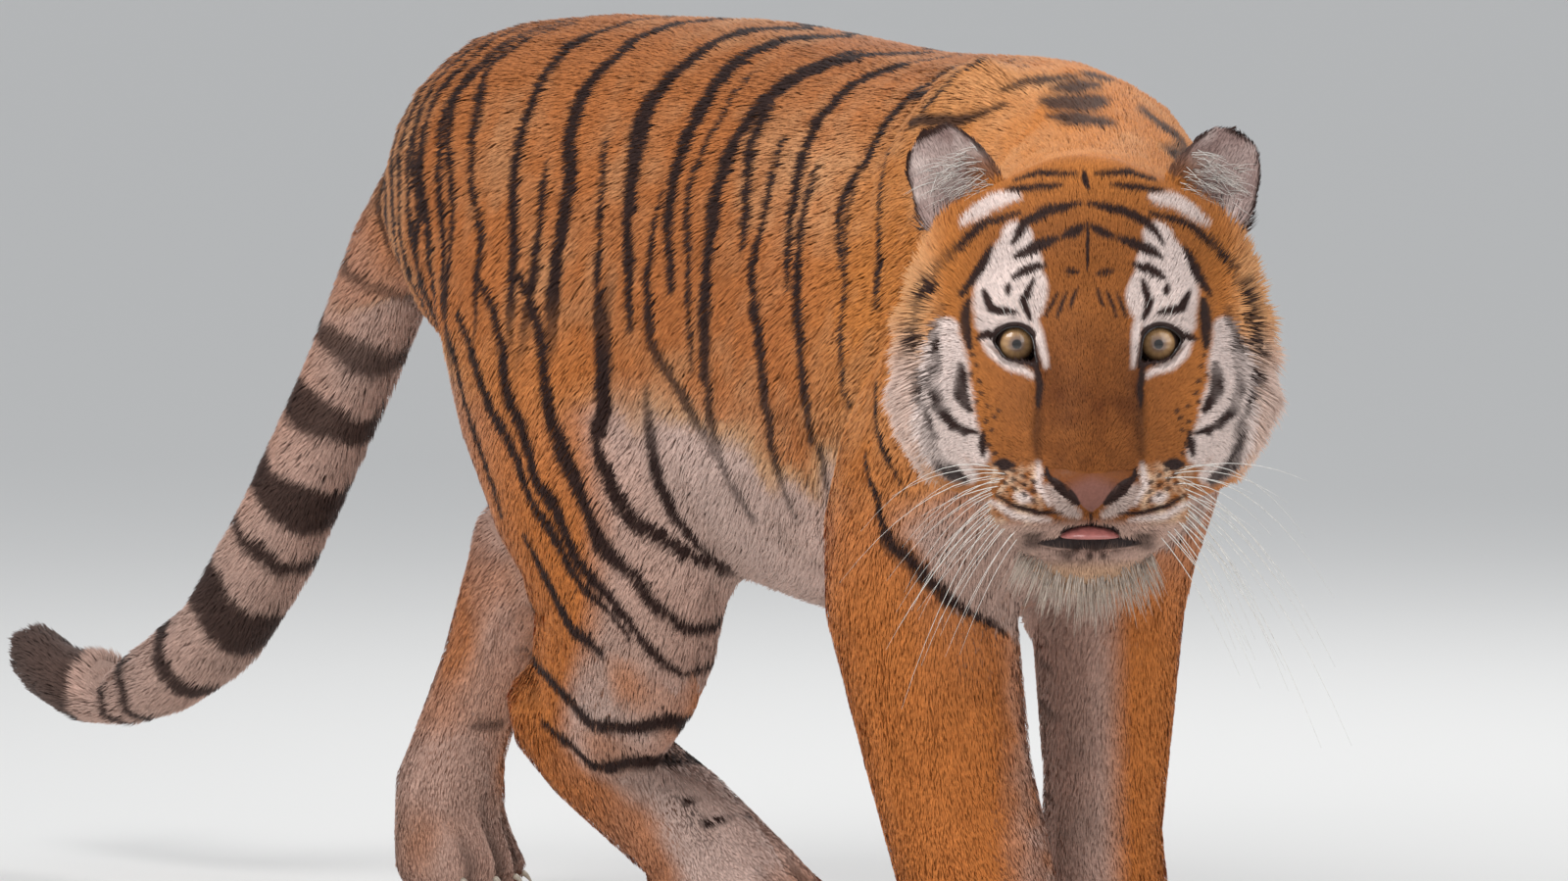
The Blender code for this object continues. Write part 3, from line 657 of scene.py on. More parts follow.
# Leg stripes seen from the side: half width in mm, then x and z in metres.
THIGH = (
    (9, (0.08, 0.57), (0.07, 0.49), (0.075, 0.445), (0.105, 0.39)),
    (14, (0.005, 0.68), (0.00, 0.60), (-0.004, 0.52)),
    (9, (-0.013, 0.53), (-0.005, 0.49), (0.024, 0.445), (0.06, 0.41), (0.10, 0.39)),
    (9, (-0.14, 0.67), (-0.11, 0.63), (-0.073, 0.54), (-0.035, 0.47), (0.003, 0.405), (0.043, 0.36),
     (0.08, 0.32)),
    (9, (-0.207, 0.667), (-0.176, 0.635), (-0.13, 0.54), (-0.074, 0.46), (-0.042, 0.40), (0.004, 0.35),
     (0.03, 0.32), (0.05, 0.29)),
    (9, (-0.25, 0.63), (-0.185, 0.55), (-0.12, 0.48), (-0.08, 0.42), (-0.04, 0.37), (0.01, 0.32)),
    (8, (-0.135, 0.41), (-0.105, 0.365), (-0.07, 0.32), (-0.033, 0.30)),
    (8, (-0.208, 0.28), (-0.11, 0.258), (-0.074, 0.23), (-0.023, 0.23), (0.03, 0.245)),
    (7, (-0.174, 0.22), (-0.13, 0.20), (-0.104, 0.18), (-0.046, 0.195)),
    (4, (-0.062, 0.145), (-0.056, 0.143)),
    (5, (-0.038, 0.127), (-0.030, 0.123)),
    (7, (-0.30, 0.66), (-0.26, 0.58), (-0.22, 0.50), (-0.18, 0.43)),
    (6, (-0.27, 0.46), (-0.22, 0.39), (-0.17, 0.33)),
)
THIGH_HEIGHTS = (0.08, 0.16, 0.24, 0.30, 0.36, 0.42, 0.48, 0.54, 0.60)
THIGH_PALE = (-0.20, -0.18, -0.12, -0.06, -0.02, -0.005, -0.01, -0.02, 0.03)   # pale ahead of here
LEFT_THIGH = tuple((0.8 * half, *[(x - 0.19, z + 0.03) for x, z in route]) for half, *route in THIGH) + (
    (6, (-0.430, 0.340), (-0.450, 0.315)),
    (5, (-0.505, 0.270), (-0.510, 0.258)),
    (5, (-0.480, 0.215), (-0.488, 0.203)),
    (4, (-0.535, 0.190), (-0.538, 0.182)),
)
FORELEG = (
    (5, (0.575, 0.535), (0.585, 0.512), (0.601, 0.492), (0.612, 0.462), (0.627, 0.441)),
    (4, (0.56, 0.60), (0.60, 0.55), (0.64, 0.50)),
)
# The fold from the near shoulder to the breast: across and up, and what lies inside it.
BREAST_LINE = ((6.0, (-0.114, 0.462), (-0.108, 0.448), (-0.089, 0.421), (-0.049, 0.385), (0.0, 0.362)),)
BREAST_HEIGHTS = (0.33, 0.35, 0.38, 0.42, 0.46, 0.54)
BREAST_EDGE = (0.08, 0.03, -0.045, -0.088, -0.110, -0.122)
INNER_LEG = (
    (4, (0.49, 0.33), (0.53, 0.315)),
    (4, (0.50, 0.28), (0.54, 0.27)),
    (3, (0.50, 0.20), (0.54, 0.19)),
)
# Face marks: half width, then distance to the side and height, in mm, for both sides.
FACE = (
    (3.0, (72, 161), (44, 167), (20, 172), (0, 173)),
    (3.0, (66, 146), (40, 153), (8, 152)),
    (3.0, (70, 138), (45, 140), (22, 143)),
    (4.8, (66, 91), (53, 110), (32, 120), (4, 126)),
    (5.4, (64, 78), (46, 87), (27, 94)),
    (5.0, (21, 96), (4, 105)),
    (4.6, (67, 59), (54, 67), (40, 71)),
    (2.6, (21, 66), (8, 64)),
    (1.8, (36, 25), (26, 45)),
    (1.8, (27, 24), (18, 46)),
    (1.8, (15, 32), (9, 50)),
    (4.2, (91, 47), (85, 32), (64, 28)),
    (3.4, (71, 53), (71, 45)),
    (3.8, (49, 57), (57, 38), (51, 22)),
    (4.6, (85, 87), (98, 62), (109, 45)),
    (5.0, (103, 40), (106, 18), (104, -4)),
    (4.6, (58, 118), (91, 108), (120, 80), (140, 54), (149, 26), (149, -12), (146, -47), (130, -84)),
    (5.6, (124, 34), (132, 4), (135, -34), (128, -62), (108, -80)),
    (6.2, (113, -20), (113, -45), (105, -60)),
    (3.6, (131, -50), (118, -74), (97, -80)),
    (4.0, (92, -80), (93, -100)),
    (6.0, (82, -109), (68, -110)),
    (2.4, (84, -137), (70, -145), (46, -152), (26, -152)),
    (4.0, (96, 4), (84, 10), (76, 16)),
    (3.6, (50, -16), (46, -26), (44, -38), (45, -56)),
    (4.6, (140, -76), (126, -104), (108, -122)),
    (3.8, (146, 62), (156, 30), (158, -20)),
    (2.6, (42, -118), (30, -121)),
)
CHEEK_SPOTS = tuple((2.6, spot, (spot[0] + 2, spot[1] - 1)) for spot in (
    (102, -10), (99, -20), (104, -28), (97, -33), (95, -44), (98, -52), (88, -56), (82, -66),
    (90, -70), (84, -78), (78, -60), (86, -90), (82, -98)))
WHISKER_SPOTS = tuple((2.0, (50 + 8 * i, -134 + 5 * i - 8 * row), (54 + 8 * i, -132 + 5 * i - 8 * row))
                      for row in (-1, 0, 1) for i in range(4))
MIDLINE = (
    (1.6, (0, 110), (0, 66)),
    (2.6, (-3, 154), (2, 140)),
    (1.6, (0, -146), (0, -162)),
)
UNDER_NOSE = ((7.0, (38, -130), (27, -145), (12, -154)),)
# the line beside the bridge: a mark near the eyes, painted shade in the fold further down
BESIDE_BRIDGE = ((5.0, (45, -44), (45, -76), (46, -106)),)
NOSTRILS = ((5.4, (36, -122), (27, -130), (13, -143)), (2.0, (40, -112), (38, -119), (33, -124)))
EYE_WHITE = (
    (27.0, (62, 96), (66, 70), (72, 48), (76, 22), (78, 6)),
    (19.0, (56, 70), (54, 44), (58, 18)),
    (4.6, (50, 34), (45, 12), (41, -6), (38, -20)),
    (4.6, (92, 3), (86, -9), (74, -19), (60, -24), (51, -29)),
)
FACE_WHITE = EYE_WHITE + (
    (7.5, (108, 110), (84, 127), (60, 133)),
    (21.0, (122, 14), (127, -34), (118, -74), (98, -100)),
    (12.0, (143, -50), (132, -92), (104, -118)),
    (3.4, (46, -108), (47, -128), (38, -144)),
    (3.4, (88, -143), (66, -155), (36, -159)),
    (5.0, (66, -137), (56, -140)),
)
# Edge of the opening of an eye: outward and up from the pupil, in mm.
LID_EDGE = (
    (20.5, 3.4), (14.6, 11.6), (5.2, 15.8), (-4.8, 15.0), (-12.6, 8.5), (-15.6, -0.5),
    (-16.6, -9.5), (-17.8, -17.5), (-10.0, -16.4), (0, -15.8), (9.6, -12.8), (16.0, -5.2),
)
TAIL_ROUTE = (
    (-0.406, 0.089, 0.800), (-0.488, 0.071, 0.745), (-0.558, 0.057, 0.655), (-0.606, 0.045, 0.562),
    (-0.664, 0.037, 0.472), (-0.720, 0.029, 0.392), (-0.774, 0.023, 0.324), (-0.838, 0.017, 0.262),
    (-0.916, 0.013, 0.222), (-0.998, 0.009, 0.200), (-1.084, 0.007, 0.190), (-1.151, 0.005, 0.200),
    (-1.201, 0.004, 0.226), (-1.222, 0.003, 0.242),
)
TAIL_RINGS = (                # distance from the croup along the tail, and half width
    (0.225, 0.005), (0.305, 0.009), (0.388, 0.013), (0.487, 0.018), (0.560, 0.006), (0.655, 0.019),
    (0.765, 0.010), (0.865, 0.008), (0.905, 0.005),
)
TAIL_TIP = 0.970


def along_tail(points):
    """Distance of each point's foot on the tail's middle line, and that line's direction there."""
    best = np.full(len(points), 1e9)
    where = np.zeros(len(points))
    heading = np.zeros((len(points), 3))
    for along, way, gap in segments(np.array(TAIL_ROUTE), points):
        nearer = gap < best
        best = np.where(nearer, gap, best)
        where = np.where(nearer, way, where)
        heading[nearer] = along
    return where, heading


def around_trunk(points):
    """Angle above the flank in degrees, and the distance left of the trunk's middle line."""
    x = points[:, 0]
    middle = SPINE_Y + SPINE_BEND * (1.0 - ((x - SPINE_CENTRE) / SPINE_REACH) ** 2)
    off = points[:, 1] - middle
    angle = np.degrees(np.arctan2(points[:, 2] - FLANK_HEIGHT, np.abs(off)))
    return angle, off


def trunk_markings(points, x, angle, left):
    """Colour of the trunk from the back to the belly, and how dark its stripes are."""
    shade = smooth(45.0, 88.0, angle)
    colour = mix(FLANK_ORANGE, ORANGE, smooth(0.30, 0.50, x))
    colour = mix(colour, BACK, 0.8 * shade * smooth(0.60, 0.40, x))
    pale = 0.10 + 0.30 * noise(points, 0.11, 13) + 0.15 * noise(points, 0.02, 14)
    colour = mix(colour, CREAM, np.clip(pale, 0, 1))
    colour = colour * (1.0 + 0.10 * noise(points, 0.16, 26))[:, None]
    low = angle + 6.0 * noise(points, 0.04, 3) - np.interp(x, BELLY_PLACES, BELLY_ANGLES)
    # the belly's white mixed with painted shade, stronger in patches
    belly = mix(mix(TAN, WHITE, 0.35), SHADED_WHITE, 0.15 + 0.35 * noise(points, 0.04, 4))
    colour = mix(colour, CREAM, 0.8 * smooth(9.0, -3.0, low))
    under = smooth(2.0, -9.0, low)
    colour = mix(colour, belly, under)
    u = np.where(left, x + 0.022, x)
    dark = strokes(u, angle * DEGREE, scaled(FLANK + HUMP, 1.0, DEGREE, 0.00108), 0.0045)
    dark = np.maximum(dark, strokes(u, angle * DEGREE, scaled(RUMP, 1.0, DEGREE, 0.00115), 0.004))
    return colour, dark * (1.0 - 0.30 * under)


def with_neck_marks(points, normals, warp, dark):
    """The trunk's stripes, faded out towards the head, with the neck's own marks."""
    local = to_head(points)
    facing = (normals @ HEAD_AXES[0] > 0.0) & (local[:, 0] > -0.62)
    up = local[:, 2] - FACE_LEAN * local[:, 0] + 0.6 * warp
    neck = 0.92 * fine_strokes(local[:, 1] + warp, up, NECK, 0.006) * facing
    nape = 0.85 * fine_strokes(local[:, 0] + warp, local[:, 2], NAPE, 0.004) * (local[:, 1] > 0.05)
    return np.maximum.reduce([dark * (1.0 - 0.9 * smooth(-0.42, -0.34, local[:, 0])), neck, nape])


def hind_leg_markings(points, x, z, kinds, left):
    """Colour of the hind legs, pale in front and orange behind, and how dark their stripes are."""
    pale = smooth(-0.030, 0.030, x - np.interp(z, THIGH_HEIGHTS, THIGH_PALE)) * smooth(0.60, 0.52, z)
    pale = np.where(left, smooth(0.56, 0.40, z), pale)
    rear = smooth(0.02, -0.02, x - (-0.15 + 0.8 * (0.20 - z))) * smooth(0.27, 0.22, z) * ~left
    ankle = mix(TAN, WHITE, 0.45 * smooth(0.30, 0.22, z) * ~left)
    # the pale fur mixed with patches of painted shade
    colour = mix(LEG_ORANGE, mix(ankle, SHADED_WHITE, 0.15 + 0.4 * noise(points, 0.05, 5)), 0.92 * pale)
    tint = np.clip(0.12 + 1.1 * noise(points, 0.07, 17), 0.0, 0.8) * smooth(0.45, 0.30, z)
    colour = mix(colour, LEG_ORANGE, np.where(left | of_kind(kinds, "shank", "paw"), tint, 0.0))
    colour = mix(colour, LEG_ORANGE, 0.75 * rear)
    dark = np.where(left, leg_strokes(x, z, LEFT_THIGH, 0.005), leg_strokes(x, z, THIGH, 0.005, 0.00108))
    return colour, dark * (1.0 - 0.3 * left)


def foreleg_markings(points, x, z, left):
    """Colour of the forelegs, how dark their stripes are, and where the pale breast shows."""
    across = (points[:, 0] - 0.55) * 0.54 + (points[:, 1] - 0.171) * 0.84
    inner_edge = (points[:, 0] - 0.645) * 0.54 + (points[:, 1] + 0.02) * 0.84
    breast = points[:, 1] - np.interp(z, BREAST_HEIGHTS, BREAST_EDGE)
    breast = smooth(-0.004, 0.014, breast) * smooth(0.335, 0.375, z) * smooth(0.505, 0.455, z) * (x > 0.53)
    fringe = smooth(0.000, 0.050, inner_edge) * (0.75 + 0.5 * noise(points, 0.02, 29))
    near = np.maximum(np.clip(fringe, 0.0, 0.85), breast)
    pale = np.where(left, smooth(0.030, -0.005, across), near)
    # the pale inner side and fringe mixed with patches of painted shade
    colour = mix(LEG_ORANGE, mix(TAN, SHADED_WHITE, 0.15 + 0.4 * noise(points, 0.04, 6)), pale)
    colour = mix(colour, CREAM, 0.55 * smooth(0.10, 0.03, z))
    dark = leg_strokes(x, z, FORELEG, 0.003) * ~left
    dark = np.maximum(dark, 0.55 * leg_strokes(x, z, INNER_LEG, 0.005) * left * pale)
    fold = leg_strokes(points[:, 1], z, BREAST_LINE, 0.005) * ~left * (x > 0.60)
    return colour, np.maximum(dark, fold), breast


def body_markings(points, normals, kinds, shares):
    """Colour of the trunk, neck and legs, and how dark their stripes are."""
    warp = 0.009 * noise(points, 0.070, 1) + 0.0025 * noise(points, 0.018, 2)
    x = points[:, 0] + warp
    z = points[:, 2] + 0.6 * warp
    angle, off = around_trunk(points)
    left = off > 0
    trunk, neck, paw = (of_kind(kinds, word) for word in ("trunk", "neck", "paw"))
    colour, dark = trunk_markings(points, x, angle, left)
    dark = with_neck_marks(points, normals, warp, dark)
    hind = smooth(0.1, 0.9, shares[:, 0])
    join = smooth(0.66, 0.56, z) * hind
    leg_colour, leg_dark = hind_leg_markings(points, x, z, kinds, left)
    colour = mix(colour, leg_colour, join)
    dark = np.maximum(dark * (1.0 - join), leg_dark * smooth(0.1, 0.5, hind))
    fore = smooth(0.1, 0.9, shares[:, 1])
    join = smooth(0.62, 0.46, z) * fore
    leg_colour, leg_dark, breast = foreleg_markings(points, x, z, left)
    colour = mix(colour, leg_colour, join)
    # the pale breast with painted shade mixed in
    colour = mix(colour, mix(TAN, SHADED_WHITE, 0.3), 0.9 * breast * fore * ~left)
    dark = np.maximum(dark * (1.0 - join), leg_dark * smooth(0.1, 0.5, fore))
    # painted shade in the grooves between the toes
    colour = colour * (1.0 - 0.5 * between_toes(points) * paw)[:, None]
    throat = neck & (points[:, 2] < 0.60)
    # the throat and chest pale, with painted shade mixed in
    chest = smooth(0.62, 0.54, z + 0.03 * noise(points, 0.05, 7)) * (throat | (trunk & (x > 0.55)))
    colour = mix(colour, mix(TAN, SHADED_WHITE, 0.35), 0.85 * chest)
    return colour, np.where(chest > 0.3, dark * 0.4, dark)


def tail_markings(points):
    """Colour of the tail and how dark its rings and tip are."""
    where, _ = along_tail(points)
    where = where + 0.006 * noise(points, 0.03, 8)
    middle_height = np.interp(where, (0.0, 0.32, 0.70, 1.1), (0.80, 0.56, 0.26, 0.22))
    top = smooth(-0.02, 0.04, points[:, 2] - middle_height)
    # the tail's pale fur mixed with patches of painted shade
    pale = mix(TAN, SHADED_WHITE, 0.12 + 0.40 * noise(points, 0.045, 9))
    colour = mix(pale, FLANK_ORANGE, smooth(0.15, 0.04, where))
    colour = mix(colour, LEG_ORANGE, 0.40 * top * smooth(0.70, 0.40, where))
    dark = np.zeros(len(points))
    for place, half in TAIL_RINGS:
        wide = half * (1.55 + 0.45 * noise(points, 0.03, 10) + 0.5 * noise(points, 0.07, 18))
        dark = np.maximum(dark, np.clip((wide - np.abs(where - place)) / 0.009 + 0.5, 0, 1))
    dark = np.maximum(dark, smooth(TAIL_TIP - 0.01, TAIL_TIP + 0.01, where))
    return colour, dark * (0.94 - 0.10 * smooth(0.95, 1.0, where))


def head_markings(points):
    """Colour of the head, how dark its marks are, and where it is bare."""
    local = to_head(points)
    wobble = 0.0012 * noise(local, 0.016, 11)
    y = local[:, 1] + wobble
    z = local[:, 2] - FACE_LEAN * local[:, 0] + 0.0010 * noise(local, 0.014, 12)
    side = np.abs(y + 0.0012 * np.sin(60.0 * z))
    # behind the face the marks run on round the cheeks
    side = side + 0.4 * np.maximum(-0.09 - local[:, 0], 0.0)
    colour = mix(ORANGE, FACE_ORANGE, smooth(0.15, 0.06, side) * smooth(0.19, 0.09, z))
    bridge = mix(BRIDGE, FACE_ORANGE, 0.45 * smooth(-0.050, -0.085, z) + 0.35 * noise(local, 0.012, 31))
    colour = mix(colour, bridge, smooth(0.052, 0.040, side) * smooth(0.045, -0.050, z))
    colour = mix(colour, CREAM, 0.55 * smooth(0.118, 0.150, side) * smooth(0.14, 0.06, z))
    colour = mix(colour, mix(WHITE, TAN, 0.35), 0.8 * smooth(0.130, 0.155, side) * smooth(0.03, -0.04, z))
    pads = smooth(-0.104, -0.116, z) * smooth(0.040, 0.048, side) * smooth(0.094, 0.086, side)
    mottle = np.clip(0.42 + 0.8 * noise(local, 0.007, 27), 0.0, 0.9)
    colour = mix(colour, mix(CREAM, WHITE, 0.25), mottle * pads)
    colour = mix(colour, WHITE, 0.94 * fine_strokes(side, z, FACE_WHITE, 0.005))
    # below the nose the white has painted shade mixed in
    under_nose = fine_strokes(side, z, UNDER_NOSE, 0.005)
    colour = mix(colour, mix(SHADED_WHITE, WHITE, 0.45), 0.85 * under_nose)
    # a dark line beside the bridge: near the eyes a mark of the coat, lower down painted shade in the fold
    # beside the bridge
    groove = fine_strokes(side, z, BESIDE_BRIDGE, 0.006)
    colour = mix(colour, BRIDGE * 0.45, 0.65 * groove)
    # the chin tan with a little painted shade below the lip, cream further down
    chin = smooth(-0.155, -0.166, z)
    colour = mix(colour, mix(mix(SHADED_WHITE, TAN, 0.75), CREAM, 0.55 * smooth(-0.190, -0.206, z)), 0.9 * chin)
    # under the jaw, towards the throat: pale with painted shade mixed in
    under = smooth(-0.125, -0.150, z) * smooth(0.00, -0.05, local[:, 0])
    colour = mix(colour, mix(TAN, SHADED_WHITE, 0.55), under)
    colour = colour * (1.0 + 0.10 * noise(local, 0.030, 15))[:, None]
    dark = fine_strokes(side, z, FACE, 0.0028)
    faded = np.clip(0.30 + 0.9 * noise(local, 0.016, 28), 0.0, 0.85)
    dark = dark * (1.0 - smooth(0.100, 0.135, side) * faded)
    dark = np.maximum(dark, 0.8 * fine_strokes(side, z, CHEEK_SPOTS + WHISKER_SPOTS, 0.0016))
    lip = smooth(0.040, 0.015, side) * smooth(-0.181, -0.186, z) * smooth(-0.202, -0.192, z)
    dark = np.maximum(dark, lip * np.clip(0.35 + 1.0 * noise(local, 0.006, 30), 0.0, 0.8))
    dark = np.maximum(dark, fine_strokes(y, z, MIDLINE, 0.0014))
    corner = smooth(0.036, 0.046, side) * smooth(0.066, 0.052, side) * smooth(-0.166, -0.172, z)
    dark = np.maximum(dark, 0.75 * corner * smooth(-0.188, -0.179, z) * (local[:, 0] > 0.02))
    dark = dark * smooth(-0.19, -0.14, local[:, 0])
    pad = 0.0395 * (1.0 - np.clip((-0.119 - z) / 0.034, 0.0, 1.0) ** 0.9)
    nose = ((side < pad) & (z < -0.1175 + 0.004 * smooth(0.0, 0.03, side)) & (z > -0.153)
            & (local[:, 0] > 0.075)).astype(float)
    colour = mix(colour, mix(BRIDGE * 1.3, NOSE, smooth(-0.116, -0.134, z + 0.35 * (side - 0.015))), nose)
    dark = np.where(nose > 0.5, 0.0, dark)
    dark = np.maximum(dark, fine_strokes(side, z, NOSTRILS, 0.0012) * (local[:, 0] > 0.07))
    inside = mouth_inside(local)
    colour = mix(colour, MOUTH, inside)
    rim, socket = lids(local)
    dark = np.maximum(dark, rim)
    bare = np.maximum.reduce([nose, inside, socket])
    return colour, dark, bare


def lid_gap(local):
    """Which points lie before the eyes, where, and how far outside the edge of the lids."""
    edge = loop_through(LID_EDGE, 6) * MM
    y = np.abs(local[:, 1]) - EYE_SPACING
    z = local[:, 2]
    near = np.flatnonzero((np.abs(y) < 0.040) & (np.abs(z) < 0.036) & (local[:, 0] > -0.045))
    place = np.stack([y[near], z[near]], axis=1)
    gap = np.linalg.norm(place[:, None, :] - edge[None], axis=2).min(axis=1)
    turns, reach = ring_order(np.arctan2(edge[:, 1], edge[:, 0]), np.linalg.norm(edge, axis=1))
    inner = np.linalg.norm(place, axis=1) < np.interp(np.arctan2(place[:, 1], place[:, 0]), turns, reach)
    return near, place, np.where(inner, -gap, gap)


def lids(local):
    """How dark and how bare each place is for its distance from the edge of the eye's opening."""
    rim, bare = np.zeros(len(local)), np.zeros(len(local))
    near, place, gap = lid_gap(local)
    wide = 0.0016 + 0.0024 * smooth(0.004, 0.012, place[:, 1])
    wide = wide + 0.0012 * smooth(-0.006, -0.016, place[:, 0])
    band = 0.55 * smooth(0.0060, 0.0040, gap) * smooth(0.004, -0.004, place[:, 1])
    rim[near] = np.maximum(smooth(1.35, 0.85, gap / wide), band)
    bare[near] = smooth(1.1, 0.6, gap / wide)
    return rim, bare


def ring_order(angles, values):
    """Angles in rising order with their values, carried past both ends of the circle."""
    order = np.argsort(angles)
    angles, values = angles[order], values[order]
    turn = 2 * math.pi
    return (np.concatenate([angles[-3:] - turn, angles, angles[:3] + turn]),
            np.concatenate([values[-3:], values, values[:3]]))


def mouth_inside(local):
    """How far each place lies within the mouth, from 0 to 1."""
    gap = outside(local, (MOUTH_PLACE, (0.056, 0.049, 0.0072), (0, 0, 0), 0))
    room = outside(local, (TONGUE_ROOM, (0.052, 0.0355, 0.0092), (0, 0, 0), 0))
    return smooth(0.0010, -0.0008, np.minimum(gap, room))


EAR_PLACE = np.array((-0.122, 0.106, 0.106))
EAR_TURN = turned((0, 0, 22)) @ turned((-26, 0, 0))
EAR_HEIGHTS = (-0.030, 0.010, 0.040, 0.064, 0.082, 0.094)
EAR_HALVES = (0.042, 0.046, 0.046, 0.040, 0.029, 0.015)
EAR_DEPTHS = (0.030, 0.030, 0.026, 0.020, 0.014, 0.009)


def to_ear(local):
    """Ear coordinates of either ear: out of the hollow, away from the head's middle, and up."""
    return (folded(local) - EAR_PLACE) @ EAR_TURN


def ear_markings(points, normals):
    """Black backs with a white spot, pale hair in the hollow, and a dark rim."""
    local = to_head(points)
    ear = to_ear(local)
    facing = normals @ HEAD_AXES[0]
    inner = smooth(0.10, 0.45, facing)
    edge = np.interp(ear[:, 2], EAR_HEIGHTS, EAR_HALVES) - np.abs(ear[:, 1])
    rim = np.maximum(smooth(0.0085, 0.0045, edge), smooth(0.082, 0.088, ear[:, 2]))
    pale = mix(EAR_PINK, WHITE, np.clip(0.35 + 0.6 * noise(local, 0.014, 16), 0.0, 1.0))
    # painted shade deep in the ear's hollow
    deep = 0.6 * smooth(0.030, 0.012, np.abs(ear[:, 1])) * smooth(0.06, 0.03, ear[:, 2])
    pale = mix(pale, EAR_PINK * 0.6, deep)
    base = smooth(0.020, -0.008, ear[:, 2])
    head_side = smooth(-0.006, -0.026, ear[:, 1]) * smooth(0.066, 0.030, ear[:, 2])
    pale = mix(pale, FACE_ORANGE, 0.85 * head_side)
    colour = mix(BLACK * 1.3, pale, inner * (1.0 - rim * (1.0 - 0.5 * head_side)))
    colour = mix(colour, ORANGE, base * (1.0 - 0.5 * inner))
    spot = smooth(0.024, 0.016, np.hypot(ear[:, 1], ear[:, 2] - 0.048))
    return mix(colour, WHITE, spot * (facing < -0.2))


def part_shares(points, kinds, edges):
    """How far each place belongs to a hind leg, a foreleg and the tail, with soft joins."""
    hind = points[:, 0] < 0.20
    lower = of_kind(kinds, "shank", "paw")
    masks = (of_kind(kinds, "thigh") | (lower & hind), of_kind(kinds, "foreleg") | (lower & ~hind),
             of_kind(kinds, "tail"))
    return average(np.stack(masks, axis=1).astype(float), edges, 14, 0.6)


def markings(points, normals, kinds, shares):
    """Colour without tone, how dark the marks are and how bare of hair each place is."""
    on_head, on_ear = near_head(points)
    colour, dark = body_markings(points, normals, kinds, shares)
    tail = shares[:, 2] > 0.02
    tail_colour, tail_dark = tail_markings(points[tail])
    where, _ = along_tail(points[tail])
    blend = smooth(0.10, 0.20, where) * smooth(0.1, 0.9, shares[tail, 2])
    colour[tail] = mix(colour[tail], tail_colour, blend)
    dark[tail] = dark[tail] * (1 - blend) + tail_dark * blend
    bare = np.zeros(len(points))
    near = on_head > 0.001
    face_colour, face_dark, face_bare = head_markings(points[near])
    share = smooth(0.0, 0.9, on_head[near])
    colour[near] = mix(colour[near], face_colour, share)
    dark[near] = dark[near] * (1 - share) + face_dark * share
    bare[near] = face_bare
    ear = on_ear > 0.05
    colour[ear] = mix(colour[ear], ear_markings(points[ear], normals[ear]), smooth(0.05, 0.6, on_ear[ear]))
    dark[ear] *= 1.0 - smooth(0.05, 0.5, on_ear[ear])
    colour = mix(colour, BLACK, dark)
    return colour, dark, bare


# ---------------------------------------------------------------- the lie of the coat
LIES = {                     # where the hair points, on each kind of part
    "trunk": (-1.0, 0.0, -0.30),
    "neck": (-0.95, 0.30, -0.10),
    "thigh": (-0.35, 0.0, -1.0),
    "foreleg": (-0.15, 0.0, -1.0),
    "shank": (-0.10, 0.0, -1.0),
    "paw": (0.80, 0.10, -0.45),
    "head": (-1.0, 0.0, 0.0),
    "ear": (0.0, 0.0, 1.0),
    "tail": (-1.0, 0.0, 0.0),
}


def comb(points, normals, edges, kinds):
    """A unit direction along the skin at every vertex."""
    lie = np.array([LIES[kind] for kind in KINDS])[kinds]
    angle, _ = around_trunk(points)
    trunk = of_kind(kinds, "trunk")
    lie[trunk, 2] -= 0.35 * smooth(50.0, -10.0, angle[trunk])
    tail = of_kind(kinds, "tail")
    lie[tail] = along_tail(points[tail])[1]
    on_head, on_ear = near_head(points)
    local = to_head(points)
    away = unit(local - np.array((0.130, 0.0, -0.125)))
    spread = smooth(0.07, 0.14, np.abs(local[:, 1])) * smooth(0.08, -0.02, local[:, 2])
    away = away + spread[:, None] * np.stack(
        [np.zeros(len(points)), 0.3 * np.sign(local[:, 1]), np.full(len(points), -0.9)], axis=1)
    chin = smooth(-0.155, -0.175, local[:, 2])
    away = mix(away, np.array((-0.35, 0.0, -1.0)), chin)
    lie = mix(lie, away @ HEAD_AXES, smooth(0.0, 0.5, on_head))
    up = np.stack([np.zeros(len(points)), 0.5 * np.sign(local[:, 1]), np.ones(len(points))], axis=1)
    lie = mix(lie, up @ HEAD_AXES, smooth(0.1, 0.6, on_ear))
    for _ in range(4):
        lie = unit(lie - normals * (lie * normals).sum(axis=1)[:, None])
        lie = average(lie, edges, 4, 0.8)
    return unit(lie - normals * (lie * normals).sum(axis=1)[:, None])


